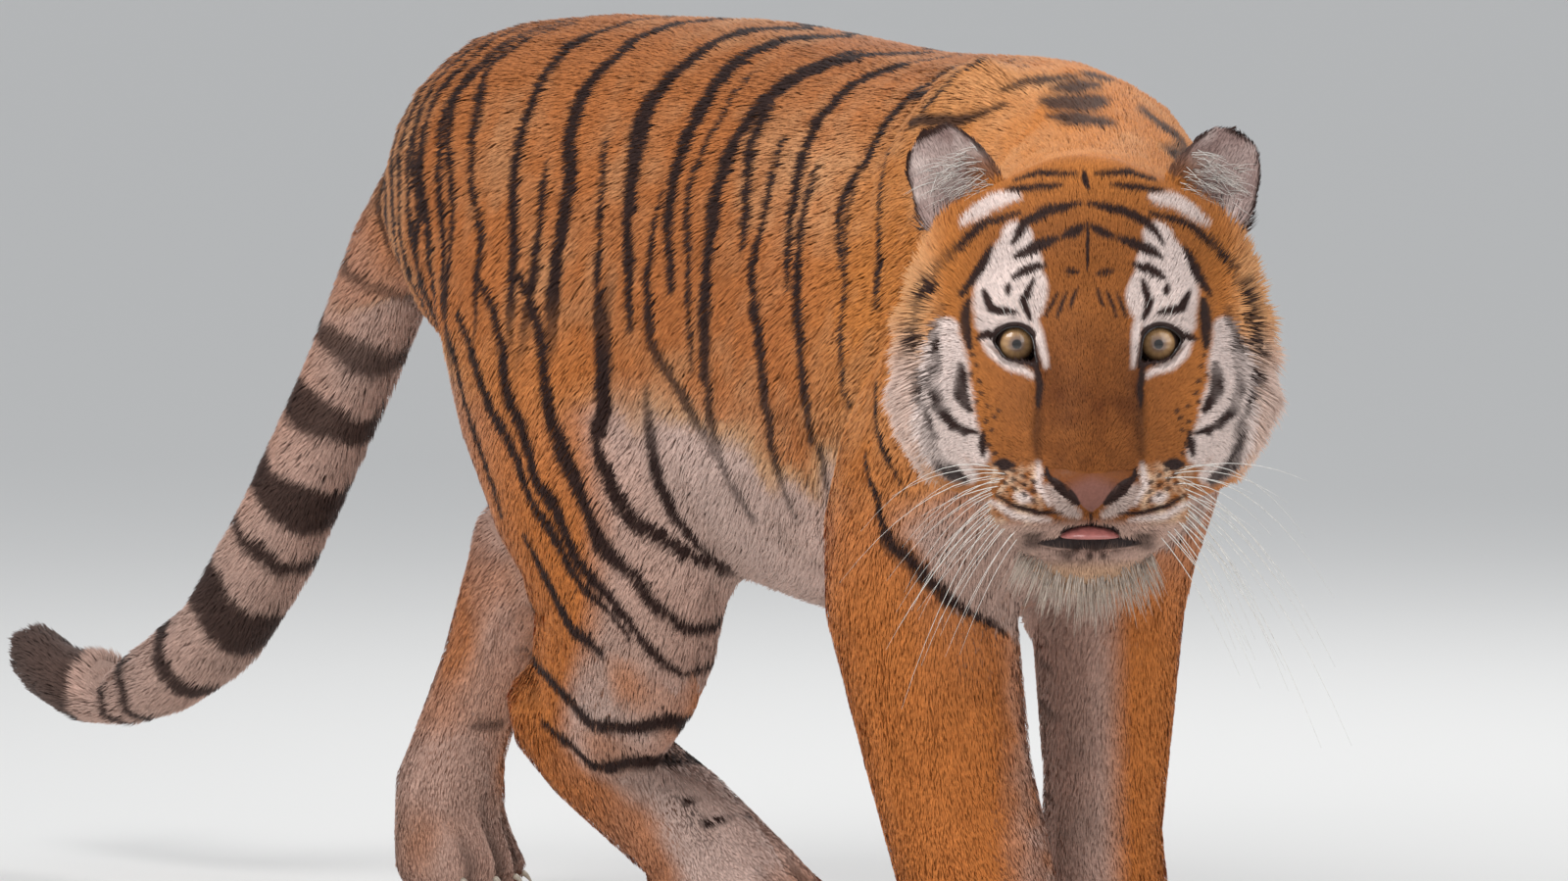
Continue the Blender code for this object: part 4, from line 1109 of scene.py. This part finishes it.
# ---------------------------------------------------------------- tufts
class Skin:
    """The finished skin as arrays, with a value of each field at every vertex."""

    def __init__(self, thing, tree, names):
        mesh = thing.data
        self.points = points_of(mesh)
        self.normals = normals_of(mesh)
        self.triangles = triangles_of(mesh)
        edges = edges_of(mesh)
        self.kinds, self.names = labels_for(self.points, tree, names)
        self.shares = part_shares(self.points, self.kinds, edges)
        self.colour, self.dark, self.bare = markings(self.points, self.normals, self.kinds, self.shares)
        self.lie = comb(self.points, self.normals, edges, self.kinds)
        table = np.array([COATS[kind] for kind in KINDS])
        fields = table[self.kinds]
        on_head, on_ear = near_head(self.points)
        local = to_head(self.points)
        deep = head_coat(local)
        ruff = smooth(0.006, 0.015, deep)
        head_fields = np.stack([deep, 0.0070 + 1.15 * deep + 0.016 * ruff, 0.0010 + 0.0008 * ruff,
                                58.0 - 34.0 * ruff], axis=1)
        muzzle = smooth(0.03, 0.07, local[:, 0])
        head_fields[:, 1] *= 1.0 - 0.35 * muzzle
        fields = mix(fields, head_fields, on_head)
        fields = mix(fields, table[KINDS.index("ear")], smooth(0.05, 0.4, on_ear))
        under = smooth(0.52, 0.40, self.points[:, 2]) * of_kind(self.kinds, "trunk")
        fields[:, 0] += BELLY_COAT * under
        fields[:, 1] += 0.018 * under
        self.fields = average(fields, edges, 6, 0.6)
        self.fields[:, 3] *= 1.0 - smooth(0.2, 0.6, self.bare)
        self.fields[:, 3] *= smooth(0.004, 0.010, self.points[:, 2])


def sprinkle(skin, chosen):
    """Roots over the chosen triangles: points, barycentric corners and weights."""
    corners = skin.triangles[chosen]
    a, b, c = (skin.points[corners[:, k]] for k in range(3))
    area = 0.5 * np.linalg.norm(np.cross(b - a, c - a), axis=1)
    crowd = area * skin.fields[corners, 3].mean(axis=1) * 1e4 * SPEED
    total = np.cumsum(crowd)
    count = int(total[-1])
    draws = (np.arange(count) + rng.random(count)) * (total[-1] / count)
    picks = np.minimum(np.searchsorted(total, draws), len(corners) - 1)
    share = rng.random((count, 2))
    fold = share.sum(axis=1) > 1.0
    share[fold] = 1.0 - share[fold]
    weights = np.column_stack([1.0 - share.sum(axis=1), share])
    return corners[picks], weights


def carry(values, corners, weights):
    """Interpolate a vertex field to the roots."""
    if values.ndim == 1:
        return (values[corners] * weights).sum(axis=1)
    return (values[corners] * weights[:, :, None]).sum(axis=1)


def grow(name, skin, chosen, unwrap, finish):
    """One coat piece: at every root a kite of two triangles, bent to lie along the coat."""
    corners, weights = sprinkle(skin, chosen)
    count = len(corners)
    root = carry(skin.points, corners, weights)
    normal = unit(carry(skin.normals, corners, weights))
    lie = unit(carry(skin.lie, corners, weights))
    depth, length, width, _ = carry(skin.fields, corners, weights).T
    kinds = skin.kinds[corners[np.arange(count), weights.argmax(axis=1)]]
    length = length * (1.0 + 0.20 * noise(root, 0.012, 21)) * rng.uniform(0.72, 1.12, count)
    width = width * rng.uniform(0.7, 1.25, count) * (1.0 if SPEED == 1.0 else 2.0)
    side = np.cross(normal, lie)
    drift = 0.16 * noise(root, 0.035, 22) + 0.14 * noise(root, 0.009, 23) + rng.normal(0.0, 0.10, count)
    lie = unit(lie * np.cos(drift)[:, None] + side * np.sin(drift)[:, None])
    side = np.cross(normal, lie)
    roll = rng.normal(0.0, 0.28, count)
    across = side * np.cos(roll)[:, None] + normal * np.sin(roll)[:, None]
    shaggy = smooth(0.012, 0.016, depth)
    rise = depth / length * rng.uniform(0.75, 1.15, count) * (1.0 + 0.55 * shaggy * noise(root, 0.013, 25))
    rise = np.clip(rise, 0.06, 0.85)
    first = np.minimum(rise * 1.45, 0.9)
    second = np.clip(2.0 * rise - first, 0.02, 0.8)
    start = root - normal * ROOT_DEPTH
    lower = lie * np.sqrt(1 - first ** 2)[:, None] + normal * first[:, None]
    upper = lie * np.sqrt(1 - second ** 2)[:, None] + normal * second[:, None]
    middle = root + lower * (0.5 * length)[:, None]
    tip = middle + upper * (0.5 * length)[:, None]
    tip[:, 2] = np.maximum(tip[:, 2], 0.001)
    shares = carry(skin.shares, corners, weights)
    colour, _, _ = markings(root + lie * (SHOWN * length)[:, None], normal, kinds, shares)
    half = across * (0.5 * width)[:, None]
    points = np.stack([start, middle - half, middle + half, tip], axis=1)
    tone = rng.normal(1.0, 0.055, count) * (1.0 + 0.08 * noise(root, 0.006, 24))
    # painted shade and light: each tuft darker at its root and a little lighter at its tip
    root_shade = np.array((0.84, 0.97, 0.97, 1.05))
    tint = colour[:, None, :] * root_shade[None, :, None] * tone[:, None, None]
    blade_normal = np.cross(middle - start, across)
    blade_normal *= np.sign((blade_normal * normal).sum(axis=1))[:, None]
    look = unit(normal * 0.80 + unit(blade_normal) * 0.20)
    mesh = bpy.data.meshes.new(name)
    mesh.vertices.add(count * 4)
    mesh.vertices.foreach_set("co", points.astype(np.float32).ravel())
    first_corner = np.arange(count)[:, None] * 4
    loops = (first_corner + np.array((0, 1, 2, 2, 1, 3))).ravel()
    mesh.loops.add(count * 6)
    mesh.loops.foreach_set("vertex_index", loops.astype(np.int32))
    mesh.polygons.add(count * 2)
    starts = (np.arange(count)[:, None] * 6 + np.array((0, 3))).ravel()
    mesh.polygons.foreach_set("loop_start", starts.astype(np.int32))
    mesh.update(calc_edges=True)
    paint_points(mesh, np.clip(tint, 0.0, 1.0).reshape(-1, 3))
    patch = np.array(((0.0, -0.5), (-0.5, 0.0), (0.5, 0.0), (0.5, 0.0), (-0.5, 0.0), (0.0, 0.5)))
    uv = unwrap(root)[:, None, :] + patch[None] * PATCH
    layer = mesh.uv_layers.new(name="OFBake")
    layer.uv.foreach_set("vector", uv.astype(np.float32).ravel())
    mesh.polygons.foreach_set("use_smooth", np.ones(count * 2, bool))
    mesh.normals_split_custom_set_from_vertices(np.repeat(look, 4, axis=0).tolist())
    mesh.materials.append(finish)
    piece = new_object(name, mesh)
    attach(piece, "root")


def paint_points(mesh, colours):
    layer = mesh.color_attributes.new(name="markings", type="FLOAT_COLOR", domain="POINT")
    rgba = np.ones((len(colours), 4), np.float32)
    rgba[:, :3] = colours
    layer.data.foreach_set("color", rgba.ravel())
    mesh.color_attributes.active_color = layer


# ---------------------------------------------------------------- unwraps for the coat pieces
def tube_unwrap(points, direction):
    """Length along a direction and angle round the tube's own middle line, both from 0 to 1."""
    along = unit(np.array(direction, float))
    up = np.array((0.0, 0.0, 1.0)) if abs(along[2]) < 0.8 else np.array((1.0, 0.0, 0.0))
    across = unit(np.cross(up, along))
    above = np.cross(along, across)
    place = points @ along
    low, high = place.min(), place.max()
    cells = 12
    stations = np.linspace(low, high, cells + 1)
    cell = np.clip(np.searchsorted(stations, place) - 1, 0, cells - 1)
    middle = np.array([points[cell == k].mean(axis=0) if (cell == k).any() else points.mean(axis=0)
                       for k in range(cells)])
    centres = (stations[1:] + stations[:-1]) / 2

    def place_of(roots):
        t = roots @ along
        axis = np.stack([np.interp(t, centres, middle[:, k]) for k in range(3)], axis=1)
        out = roots - axis
        angle = np.arctan2(out @ above, out @ across) / (2 * math.pi) + 0.5
        return 0.01 + 0.98 * np.stack([np.clip((t - low) / (high - low), 0, 1), angle], axis=1)
    return place_of


def ball_unwrap(roots):
    """The face spread flat from the tip of the nose outward."""
    local = to_head(roots) - np.array((-0.10, 0.0, -0.05))
    turn = np.arctan2(local[:, 2], local[:, 1])
    open_angle = np.arccos(np.clip(unit(local)[:, 0], -1, 1)) / math.pi
    return 0.5 + 0.49 * open_angle[:, None] * np.stack([np.cos(turn), np.sin(turn)], axis=1)


# ---------------------------------------------------------------- materials
def material(name, roughness, specular):
    made = bpy.data.materials.new(name)
    made.use_nodes = True
    shader = made.node_tree.nodes["Principled BSDF"]
    shader.inputs["Roughness"].default_value = roughness
    shader.inputs["Specular IOR Level"].default_value = specular
    return made, made.node_tree.nodes, made.node_tree.links, shader


def grain_node(nodes, links, scale, detail):
    """Fine noise that is fixed to the piece."""
    place = nodes.new("ShaderNodeTexCoord")
    grain = nodes.new("ShaderNodeTexNoise")
    grain.inputs["Scale"].default_value = scale
    grain.inputs["Detail"].default_value = detail
    links.new(place.outputs["Object"], grain.inputs["Vector"])
    return grain


def ranged(nodes, links, source, target, **limits):
    """A map range node from one socket to another."""
    node = nodes.new("ShaderNodeMapRange")
    for word, value in limits.items():
        node.inputs[word.replace("_", " ")].default_value = value
    links.new(source, node.inputs["Value"])
    links.new(node.outputs["Result"], target)


def marked(nodes, links, shader, grain, dark, light):
    """The painted markings as the base colour, from dark to light with the grain."""
    marks = nodes.new("ShaderNodeVertexColor")
    marks.layer_name = "markings"
    scale = nodes.new("ShaderNodeVectorMath")
    scale.operation = "SCALE"
    links.new(marks.outputs["Color"], scale.inputs[0])
    ranged(nodes, links, grain.outputs["Fac"], scale.inputs["Scale"],
           From_Min=0.3, From_Max=0.7, To_Min=dark, To_Max=light)
    links.new(scale.outputs["Vector"], shader.inputs["Base Color"])


def bumped(nodes, links, shader, grain, distance, strength):
    bump = nodes.new("ShaderNodeBump")
    bump.inputs["Strength"].default_value = strength
    bump.inputs["Distance"].default_value = distance
    links.new(grain.outputs["Fac"], bump.inputs["Height"])
    links.new(bump.outputs["Normal"], shader.inputs["Normal"])


def coat_material():
    made, nodes, links, shader = material("coat_hair", 0.66, 0.14)
    marked(nodes, links, shader, grain_node(nodes, links, 260.0, 3.0), 0.86, 1.12)
    shader.inputs["Sheen Weight"].default_value = 0.05
    shader.inputs["Sheen Roughness"].default_value = 0.5
    return made


def skin_material():
    """As the coat, with a bump, and moist where the skin is bare."""
    made, nodes, links, shader = material("skin_fur", 0.7, 0.16)
    grain = grain_node(nodes, links, 420.0, 4.0)
    marked(nodes, links, shader, grain, 0.84, 1.05)
    bare = nodes.new("ShaderNodeAttribute")
    bare.attribute_name = "bare"
    ranged(nodes, links, bare.outputs["Fac"], shader.inputs["Roughness"], To_Min=0.75, To_Max=0.38)
    bumped(nodes, links, shader, grain, 0.0008, 0.5)
    return made


def plain_material(name, colour, roughness, coat=0.0, bump=0.0):
    """One colour, a little darker and lighter with the grain."""
    made, nodes, links, shader = material(name, roughness, 0.5)
    grain = grain_node(nodes, links, 180.0, 2.0)
    ramp = nodes.new("ShaderNodeValToRGB")
    stops = ramp.color_ramp.elements
    for stop, place, share in zip(stops, (0.35, 0.70), (0.78, 1.12)):
        stop.position = place
        stop.color = (*[min(1.0, share * part) for part in colour], 1.0)
    links.new(grain.outputs["Fac"], ramp.inputs["Fac"])
    links.new(ramp.outputs["Color"], shader.inputs["Base Color"])
    shader.inputs["Coat Weight"].default_value = coat
    shader.inputs["Coat Roughness"].default_value = 0.05
    if bump:
        bumped(nodes, links, shader, grain, bump, 1.0)
    return made


def eye_material():
    made, nodes, links, shader = material("eye_wet", 0.18, 0.5)
    marks = nodes.new("ShaderNodeVertexColor")
    marks.layer_name = "markings"
    links.new(marks.outputs["Color"], shader.inputs["Base Color"])
    shader.inputs["Coat Weight"].default_value = 0.7
    shader.inputs["Coat Roughness"].default_value = 0.04
    return made


# ---------------------------------------------------------------- eyes and lids
IRIS_RADIUS = 0.0150
PUPIL_RADIUS = 0.0038
CORNEA_BULGE = 0.0012
AMBER_LIGHT = np.array((0.50, 0.295, 0.135))
AMBER_DARK = np.array((0.35, 0.190, 0.085))
AMBER_INNER = np.array((0.20, 0.125, 0.090))
EYEBALL_WHITE = np.array((0.150, 0.092, 0.074))
PUPIL = np.array((0.012, 0.009, 0.008))


def eyeball(side, finish):
    """A ball with rings about its gaze: dark white, limbus, streaked amber iris and round pupil."""
    rings, slices = 56, 72
    angles = np.linspace(0.0, math.pi, rings + 1)
    turns = np.arange(slices) * 2 * math.pi / slices
    radius = EYE_RADIUS - 0.0006
    grid = np.stack([np.repeat(np.cos(angles), slices), np.outer(np.sin(angles), np.cos(turns)).ravel(),
                     np.outer(np.sin(angles), np.sin(turns)).ravel()], axis=1)
    off = np.hypot(grid[:, 1], grid[:, 2]) * radius
    front = grid[:, 0] > 0
    bulge = CORNEA_BULGE * smooth(IRIS_RADIUS + 0.002, IRIS_RADIUS - 0.004, off) * front
    local = grid * (radius + bulge)[:, None]
    turn = np.arctan2(grid[:, 2], grid[:, 1])
    streak = 0.5 + 0.25 * np.sin(37 * turn) + 0.25 * np.sin(61 * turn + 1.3)
    amber = mix(AMBER_LIGHT, AMBER_DARK, streak)
    amber = mix(amber, AMBER_INNER, smooth(0.0095, 0.0045, off))
    colour = mix(np.tile(EYEBALL_WHITE, (len(grid), 1)), amber,
                 smooth(IRIS_RADIUS + 0.0004, IRIS_RADIUS - 0.0008, off) * front)
    colour = colour * (1.0 - 0.5 * smooth(IRIS_RADIUS - 0.0016, IRIS_RADIUS, off) * front)[:, None]
    colour = mix(colour, PUPIL, smooth(PUPIL_RADIUS + 0.0004, PUPIL_RADIUS - 0.0004, off) * front)
    faces = []
    for i in range(rings):
        for k in range(slices):
            after = (k + 1) % slices
            here, below = i * slices, (i + 1) * slices
            faces.append((here + k, below + k, below + after, here + after))
    centre = np.array((EYE_DEPTH, side * EYE_SPACING, 0.0))
    mesh = bpy.data.meshes.new("eye")
    mesh.from_pydata(from_head(local + centre).tolist(), [], faces)
    bm = bmesh.new()
    bm.from_mesh(mesh)
    paint = bm.verts.layers.float_color.new("markings")
    for vertex, rgb in zip(bm.verts, colour):
        vertex[paint] = (*rgb, 1.0)
    bmesh.ops.remove_doubles(bm, verts=bm.verts, dist=0.00002)
    bmesh.ops.recalc_face_normals(bm, faces=bm.faces)
    bm.to_mesh(mesh)
    bm.free()
    mesh.materials.append(finish)
    mesh.shade_smooth()
    word = "left" if side > 0 else "right"
    piece = new_object("eyeball_" + word, mesh)
    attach(piece, "root")
    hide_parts("eye_" + word)


def loop_through(points, steps):
    """A closed smooth curve through the points."""
    points = np.array(points, float)
    made = []
    for i in range(len(points)):
        a, b, c, d = (points[(i + k) % len(points)] for k in (-1, 0, 1, 2))
        for k in range(steps):
            t = k / steps
            made.append(0.5 * (2 * b + (c - a) * t + (2 * a - 5 * b + 4 * c - d) * t ** 2
                               + (3 * b - a - 3 * c + d) * t ** 3))
    return np.array(made)


def front_at(y, z, shape):
    """How far ahead the head's surface lies at each place seen from the front."""
    steps = np.linspace(0.150, -0.070, 56)
    count = len(steps)
    grid = np.stack([np.tile(steps, len(y)), np.repeat(y, count), np.repeat(z, count)], axis=1)
    within = shape(grid).reshape(len(y), count) < 0.0
    return steps[np.where(within.any(axis=1), within.argmax(axis=1), count - 1)]


def front_of_head(y, z):
    return float(front_at(np.array([y]), np.array([z]), coarse_head)[0])


def lid_rim(side, finish):
    """A dark moist ring where the lids meet the eyeball."""
    edge = loop_through(LID_EDGE, 5) * MM
    y, z = side * (EYE_SPACING + edge[:, 0]), edge[:, 1]
    ahead = front_at(y, z, lidded) - 0.0016
    for _ in range(2):
        ahead = (np.roll(ahead, 1) + 2.0 * ahead + np.roll(ahead, -1)) / 4.0
    ring = np.stack([ahead, y, z], axis=1)
    thick = 0.0010 + 0.0006 * smooth(0.004, 0.014, edge[:, 1])
    swept("lid_rim_" + ("left" if side > 0 else "right"), [(ring, thick)], finish, 8, closed=True)


def swept(name, routes, finish, sides, closed=False):
    """Round tubes along routes in the head's coordinates, joined in one piece."""
    points, faces = [], []
    for route, radii in routes:
        route = from_head(route)
        count = len(route)
        if closed:
            heading = unit(np.roll(route, -1, axis=0) - np.roll(route, 1, axis=0))
        else:
            heading = unit(np.gradient(route, axis=0))
        first = unit(np.cross(heading, np.array((0.31, 0.22, 0.93))))
        second = np.cross(heading, first)
        base = len(points)
        for k in range(sides):
            a = 2 * math.pi * k / sides
            points.extend(route + (first * math.cos(a) + second * math.sin(a)) * radii[:, None])
        span = count if closed else count - 1
        for k in range(sides):
            after = (k + 1) % sides
            for i in range(span):
                j = (i + 1) % count
                faces.append((base + k * count + i, base + after * count + i,
                              base + after * count + j, base + k * count + j))
        if not closed:
            faces.append([base + k * count for k in range(sides)][::-1])
            faces.append([base + k * count + count - 1 for k in range(sides)])
    mesh = bpy.data.meshes.new(name)
    mesh.from_pydata([tuple(p) for p in points], [], faces)
    bm = bmesh.new()
    bm.from_mesh(mesh)
    bmesh.ops.recalc_face_normals(bm, faces=bm.faces)
    bm.to_mesh(mesh)
    bm.free()
    mesh.materials.append(finish)
    mesh.shade_smooth()
    piece = new_object(name, mesh)
    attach(piece, "root")


def hair(start, heading, length, droop, thick, steps=9):
    """One long hair: its route bends down by droop, and it thins to its tip."""
    t = np.linspace(0.0, 1.0, steps)
    heading = unit(np.array(heading, float))
    route = np.array(start)[None] + heading[None] * (length * t)[:, None]
    route[:, 2] -= droop * length * t ** 2
    return route, thick * (1.0 - 0.82 * t)


def whiskers(finish):
    """Rows of long white whiskers, the lower ones hanging more, and a few over the eyes."""
    routes = []
    for side in (1, -1):
        for row in range(5):
            for i in range(6):
                y = side * (0.050 + 0.0072 * i + rng.uniform(-0.002, 0.002))
                z = -0.119 - 0.0085 * row + 0.0020 * i
                x = front_of_head(y, z) - 0.004
                back = rng.uniform(-1.05, -0.60) - 0.04 * i
                down = 0.10 - 0.27 * row + rng.normal(0, 0.09)
                length = (0.105 + 0.014 * i + 0.006 * row) * rng.uniform(0.75, 1.2)
                route, thick = hair((x, y, z), (back, side * 1.0, down), length,
                                    rng.uniform(0.20, 0.62), 0.00052)
                past = cad_low.y - from_head(route)[:, 1].min() - 0.006
                if past > 0.0:
                    route = route[0] + (route - route[0]) * max(0.5, 1.0 - past / 0.10)
                routes.append((route, thick))
        for i in range(5):
            start = (0.000, side * (0.050 + 0.006 * i), 0.024)
            routes.append(hair(start, (0.35, side * 0.25, 0.9), 0.035, 0.25, 0.0003, 6))
    swept("whiskers", routes, finish, 4)


def ear_hair(finish):
    """Pale strands that cross the hollow of each ear from its inner side."""
    routes = []
    for side in (1, -1):
        for _ in range(150):
            across, up = rng.uniform(-0.036, 0.020), rng.uniform(0.000, 0.058)
            half = np.interp(up, EAR_HEIGHTS, EAR_HALVES)
            s = math.sqrt(max(0.0, 1.0 - (across / half) ** 2))
            deep = np.interp(up, EAR_HEIGHTS, EAR_DEPTHS) * (0.25 * s - 0.75 * s ** 3)
            heading = np.array((0.55 + rng.normal(0, 0.15), 0.8 + rng.normal(0, 0.3),
                                0.35 + rng.normal(0, 0.3)))
            start = EAR_TURN @ np.array((deep, across, up)) + EAR_PLACE
            heading = EAR_TURN @ heading
            mirror = np.array((1.0, side, 1.0))
            length = rng.uniform(0.014, 0.030)
            routes.append(hair(start * mirror, heading * mirror, length, 0.3, 0.00042, 5))
    swept("ear_hair", routes, finish, 3)


def beard(finish):
    """Cream strands that hang from the chin and the corners of the mouth."""
    routes = []
    for i in range(420):
        y = rng.uniform(-0.060, 0.060)
        z = -0.200 + 0.30 * abs(y) - rng.uniform(0.0, 0.020)
        x = front_of_head(y, z) - 0.003
        length = rng.uniform(0.018, 0.040) * (1.0 - 4.0 * abs(y) * (i % 2))
        heading = (0.14 + rng.normal(0, 0.08), y * 9.0 + rng.normal(0, 0.12), -1.0)
        routes.append(hair((x, y, z), heading, length, 0.12, 0.00055, 5))
    swept("chin_beard", routes, finish, 3)


TONGUE_HALF = (0.037, 0.0330, 0.0070)
TONGUE_ARCH = 0.0062
TONGUE_SINK = 0.0030
TONGUE_DROOP = 16            # degrees
TONGUE_PLACE = np.array((0.076, 0.0, -0.1603))


def tongue(finish):
    """The tip of the tongue, arched across and hanging a little over the lower lip."""
    droop = Matrix.Rotation(math.radians(TONGUE_DROOP), 3, "Y")
    bm = bmesh.new()
    bmesh.ops.create_uvsphere(bm, u_segments=40, v_segments=20, radius=1.0)
    for vertex in bm.verts:
        x, y, z = vertex.co
        rise = TONGUE_ARCH * (1 - y * y)
        place = (TONGUE_HALF[0] * x, TONGUE_HALF[1] * y, TONGUE_HALF[2] * z + rise - TONGUE_SINK)
        place = np.array(droop @ Vector(place)) + TONGUE_PLACE
        vertex.co = Vector(from_head(place))
    bmesh.ops.recalc_face_normals(bm, faces=bm.faces)
    mesh = bpy.data.meshes.new("tongue_tip")
    bm.to_mesh(mesh)
    bm.free()
    mesh.materials.append(finish)
    mesh.shade_smooth()
    piece = new_object("tongue_tip", mesh)
    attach(piece, "root")
    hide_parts("tongue")


# ---------------------------------------------------------------- claws
CLAW_LENGTH = 0.012
CLAW_SUNK = 0.010            # how much of it lies behind the toe's end
CLAW_DROP = 0.010            # how far it curves down
CLAW_RADIUS = 0.0034


def claws(finish):
    """Sheathed claws: a short curved point just over each toe's end."""
    routes = []
    for heel, toe, width, height in PAWS:
        heel, toe = np.array(heel), np.array(toe)
        along = unit(toe - heel)
        across = np.array((-along[1], along[0]))
        length = np.linalg.norm(toe - heel)
        for place in (-1.5, -0.5, 0.5, 1.5):
            reach = 1.0 if abs(place) < 1 else 0.88
            tip = heel + along * (length * reach - 0.001) + across * (place * width * TOE_STEP)
            t = np.linspace(0.0, 1.0, 7)
            ahead = CLAW_LENGTH * t - CLAW_SUNK
            route = np.stack([tip[0] + along[0] * ahead, tip[1] + along[1] * ahead,
                              height * 0.30 - CLAW_DROP * t ** 1.6], axis=1)
            routes.append((to_head(route), CLAW_RADIUS * (1.0 - 0.85 * t ** 1.3)))
    swept("claws", routes, finish, 7)


# ---------------------------------------------------------------- stage
def stage():
    """Pale floor and soft light, for the long lens that looks at the tiger from its front right."""
    bpy.ops.mesh.primitive_plane_add(size=600.0, location=(0.0, 0.0, 0.0))
    floor = bpy.context.object
    floor.name = "floor"
    made, _, _, shader = material("floor_pale", 0.8, 0.2)
    shader.inputs["Base Color"].default_value = (0.80, 0.79, 0.77, 1.0)
    floor.data.materials.append(made)
    bpy.context.scene.view_settings.view_transform = "Standard"
    world = bpy.data.worlds.new("soft")
    bpy.context.scene.world = world
    world.use_nodes = True
    world.node_tree.nodes["Background"].inputs["Color"].default_value = (0.93, 0.96, 1.0, 1.0)
    world.node_tree.nodes["Background"].inputs["Strength"].default_value = 0.60
    middle = (cad_low + cad_high) / 2
    for name, azimuth, height, distance, size, power in (
            ("key", 25.0, 2.9, 3.2, 2.2, 105.0),
            ("fill", 95.0, 1.7, 3.8, 2.6, 34.0),
            ("back", 215.0, 3.2, 3.4, 2.4, 70.0)):
        light = bpy.data.lights.new(name, "AREA")
        light.size = size
        light.energy = power
        lamp = bpy.data.objects.new(name, light)
        bpy.context.scene.collection.objects.link(lamp)
        a = math.radians(azimuth)
        lamp.location = middle + Vector((math.sin(a) * distance, -math.cos(a) * distance, height))
        lamp.rotation_euler = (middle - lamp.location).to_track_quat("-Z", "Y").to_euler()


VIEW_AZIMUTH = math.radians(57.0)
VIEW_PITCH = math.radians(3.617)
CAMERA_BACK = 11.884         # level distance from the middle between the pupils to the camera
CAMERA_LEFT = 0.2740         # how far it stands to its own left of them
CAMERA_UP = 0.664            # how far it stands above them
LENS = 302.9                 # millimetres, on a 36 mm frame


def camera():
    data = bpy.data.cameras.new("camera")
    data.lens = LENS
    data.sensor_width = 36.0
    data.clip_end = 100.0
    thing = bpy.data.objects.new("camera", data)
    bpy.context.scene.collection.objects.link(thing)
    back = Vector((math.sin(VIEW_AZIMUTH), -math.cos(VIEW_AZIMUTH), 0.0))
    right = Vector((math.cos(VIEW_AZIMUTH), math.sin(VIEW_AZIMUTH), 0.0))
    up = Vector((0.0, 0.0, 1.0))
    thing.location = Vector(HEAD_ORIGIN) + back * CAMERA_BACK - right * CAMERA_LEFT + up * CAMERA_UP
    away = back * math.cos(VIEW_PITCH) + up * math.sin(VIEW_PITCH)
    thing.rotation_euler = away.to_track_quat("Z", "Y").to_euler()
    bpy.context.scene.camera = thing


# ---------------------------------------------------------------- putting it together
def dress():
    """The skin with its markings, and the coat on it."""
    tree, names = node_tree()
    skin_piece = make_skin(tree, names)
    shape_face(skin_piece)
    skin = Skin(skin_piece, tree, names)
    mesh = skin_piece.data
    paint_points(mesh, np.clip(skin.colour * 0.85, 0, 1))
    wet = mesh.attributes.new(name="bare", type="FLOAT", domain="POINT")
    wet.data.foreach_set("value", skin.bare.astype(np.float32))
    mesh.materials.append(skin_material())
    mesh.shade_smooth()
    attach(skin_piece, "root")
    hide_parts(*FLESH)
    coat(skin)


def coat(skin):
    """All coat pieces, each over its own stretch of the skin."""
    hair_finish = coat_material()
    middles = skin.points[skin.triangles].mean(axis=1)
    local = to_head(middles)
    on_head, on_ear = near_head(middles)
    head = np.maximum(on_head, on_ear) > 0.5
    owner = np.array(skin.names)[skin.triangles[:, 0]]
    right = around_trunk(middles)[1] < 0
    face = head & (local[:, 0] > -0.06) & (on_ear < 0.5)
    upper = local[:, 2] > -0.03
    grow("coat_face_upper", skin, face & upper, ball_unwrap, hair_finish)
    grow("coat_face_lower", skin, face & ~upper, ball_unwrap, hair_finish)
    grow("coat_ruff", skin, head & ~face, ball_unwrap, hair_finish)
    front = middles[:, 0] > 0.12
    along, down = (1, 0, 0), (0, 0, 1)
    regions = {}
    for word, side in (("right", right), ("left", ~right)):
        flank = (owner == "trunk") & side
        regions["coat_flank_" + word + "_front"] = (flank & front, along)
        regions["coat_flank_" + word + "_rear"] = (flank & ~front, along)
    regions["coat_neck"] = ((owner == "neck") | (owner == "head"), (0.85, -0.5, 0))
    regions["coat_tail"] = (np.char.startswith(owner, "tail"), (-0.75, 0, -0.66))
    for word in ("right", "left"):
        regions["coat_thigh_" + word] = (owner == "thigh_" + word, down)
        regions["coat_hind_leg_" + word] = (np.isin(owner, ["shank_" + word, "paw_hind_" + word]), down)
        regions["coat_foreleg_" + word] = (np.isin(owner, ["foreleg_" + word, "paw_front_" + word]), down)
    for name, (chosen, direction) in regions.items():
        chosen = chosen & ~head
        grow(name, skin, chosen, tube_unwrap(middles[chosen], direction), hair_finish)


camera()
stage()
dress()
dark_finish = plain_material("rim_dark", (0.020, 0.014, 0.013), 0.35, coat=0.4)
eye_finish = eye_material()
white_finish = plain_material("whisker_white", (0.82, 0.78, 0.72), 0.45)
for eye_side in (1, -1):
    eyeball(eye_side, eye_finish)
    lid_rim(eye_side, dark_finish)
whiskers(white_finish)
ear_hair(white_finish)
beard(plain_material("beard_cream", (0.56, 0.46, 0.38), 0.6))
tongue(plain_material("tongue_pink", (0.37, 0.12, 0.105), 0.4, coat=0.3, bump=0.0005))
claws(plain_material("claw_horn", (0.42, 0.36, 0.28), 0.35))
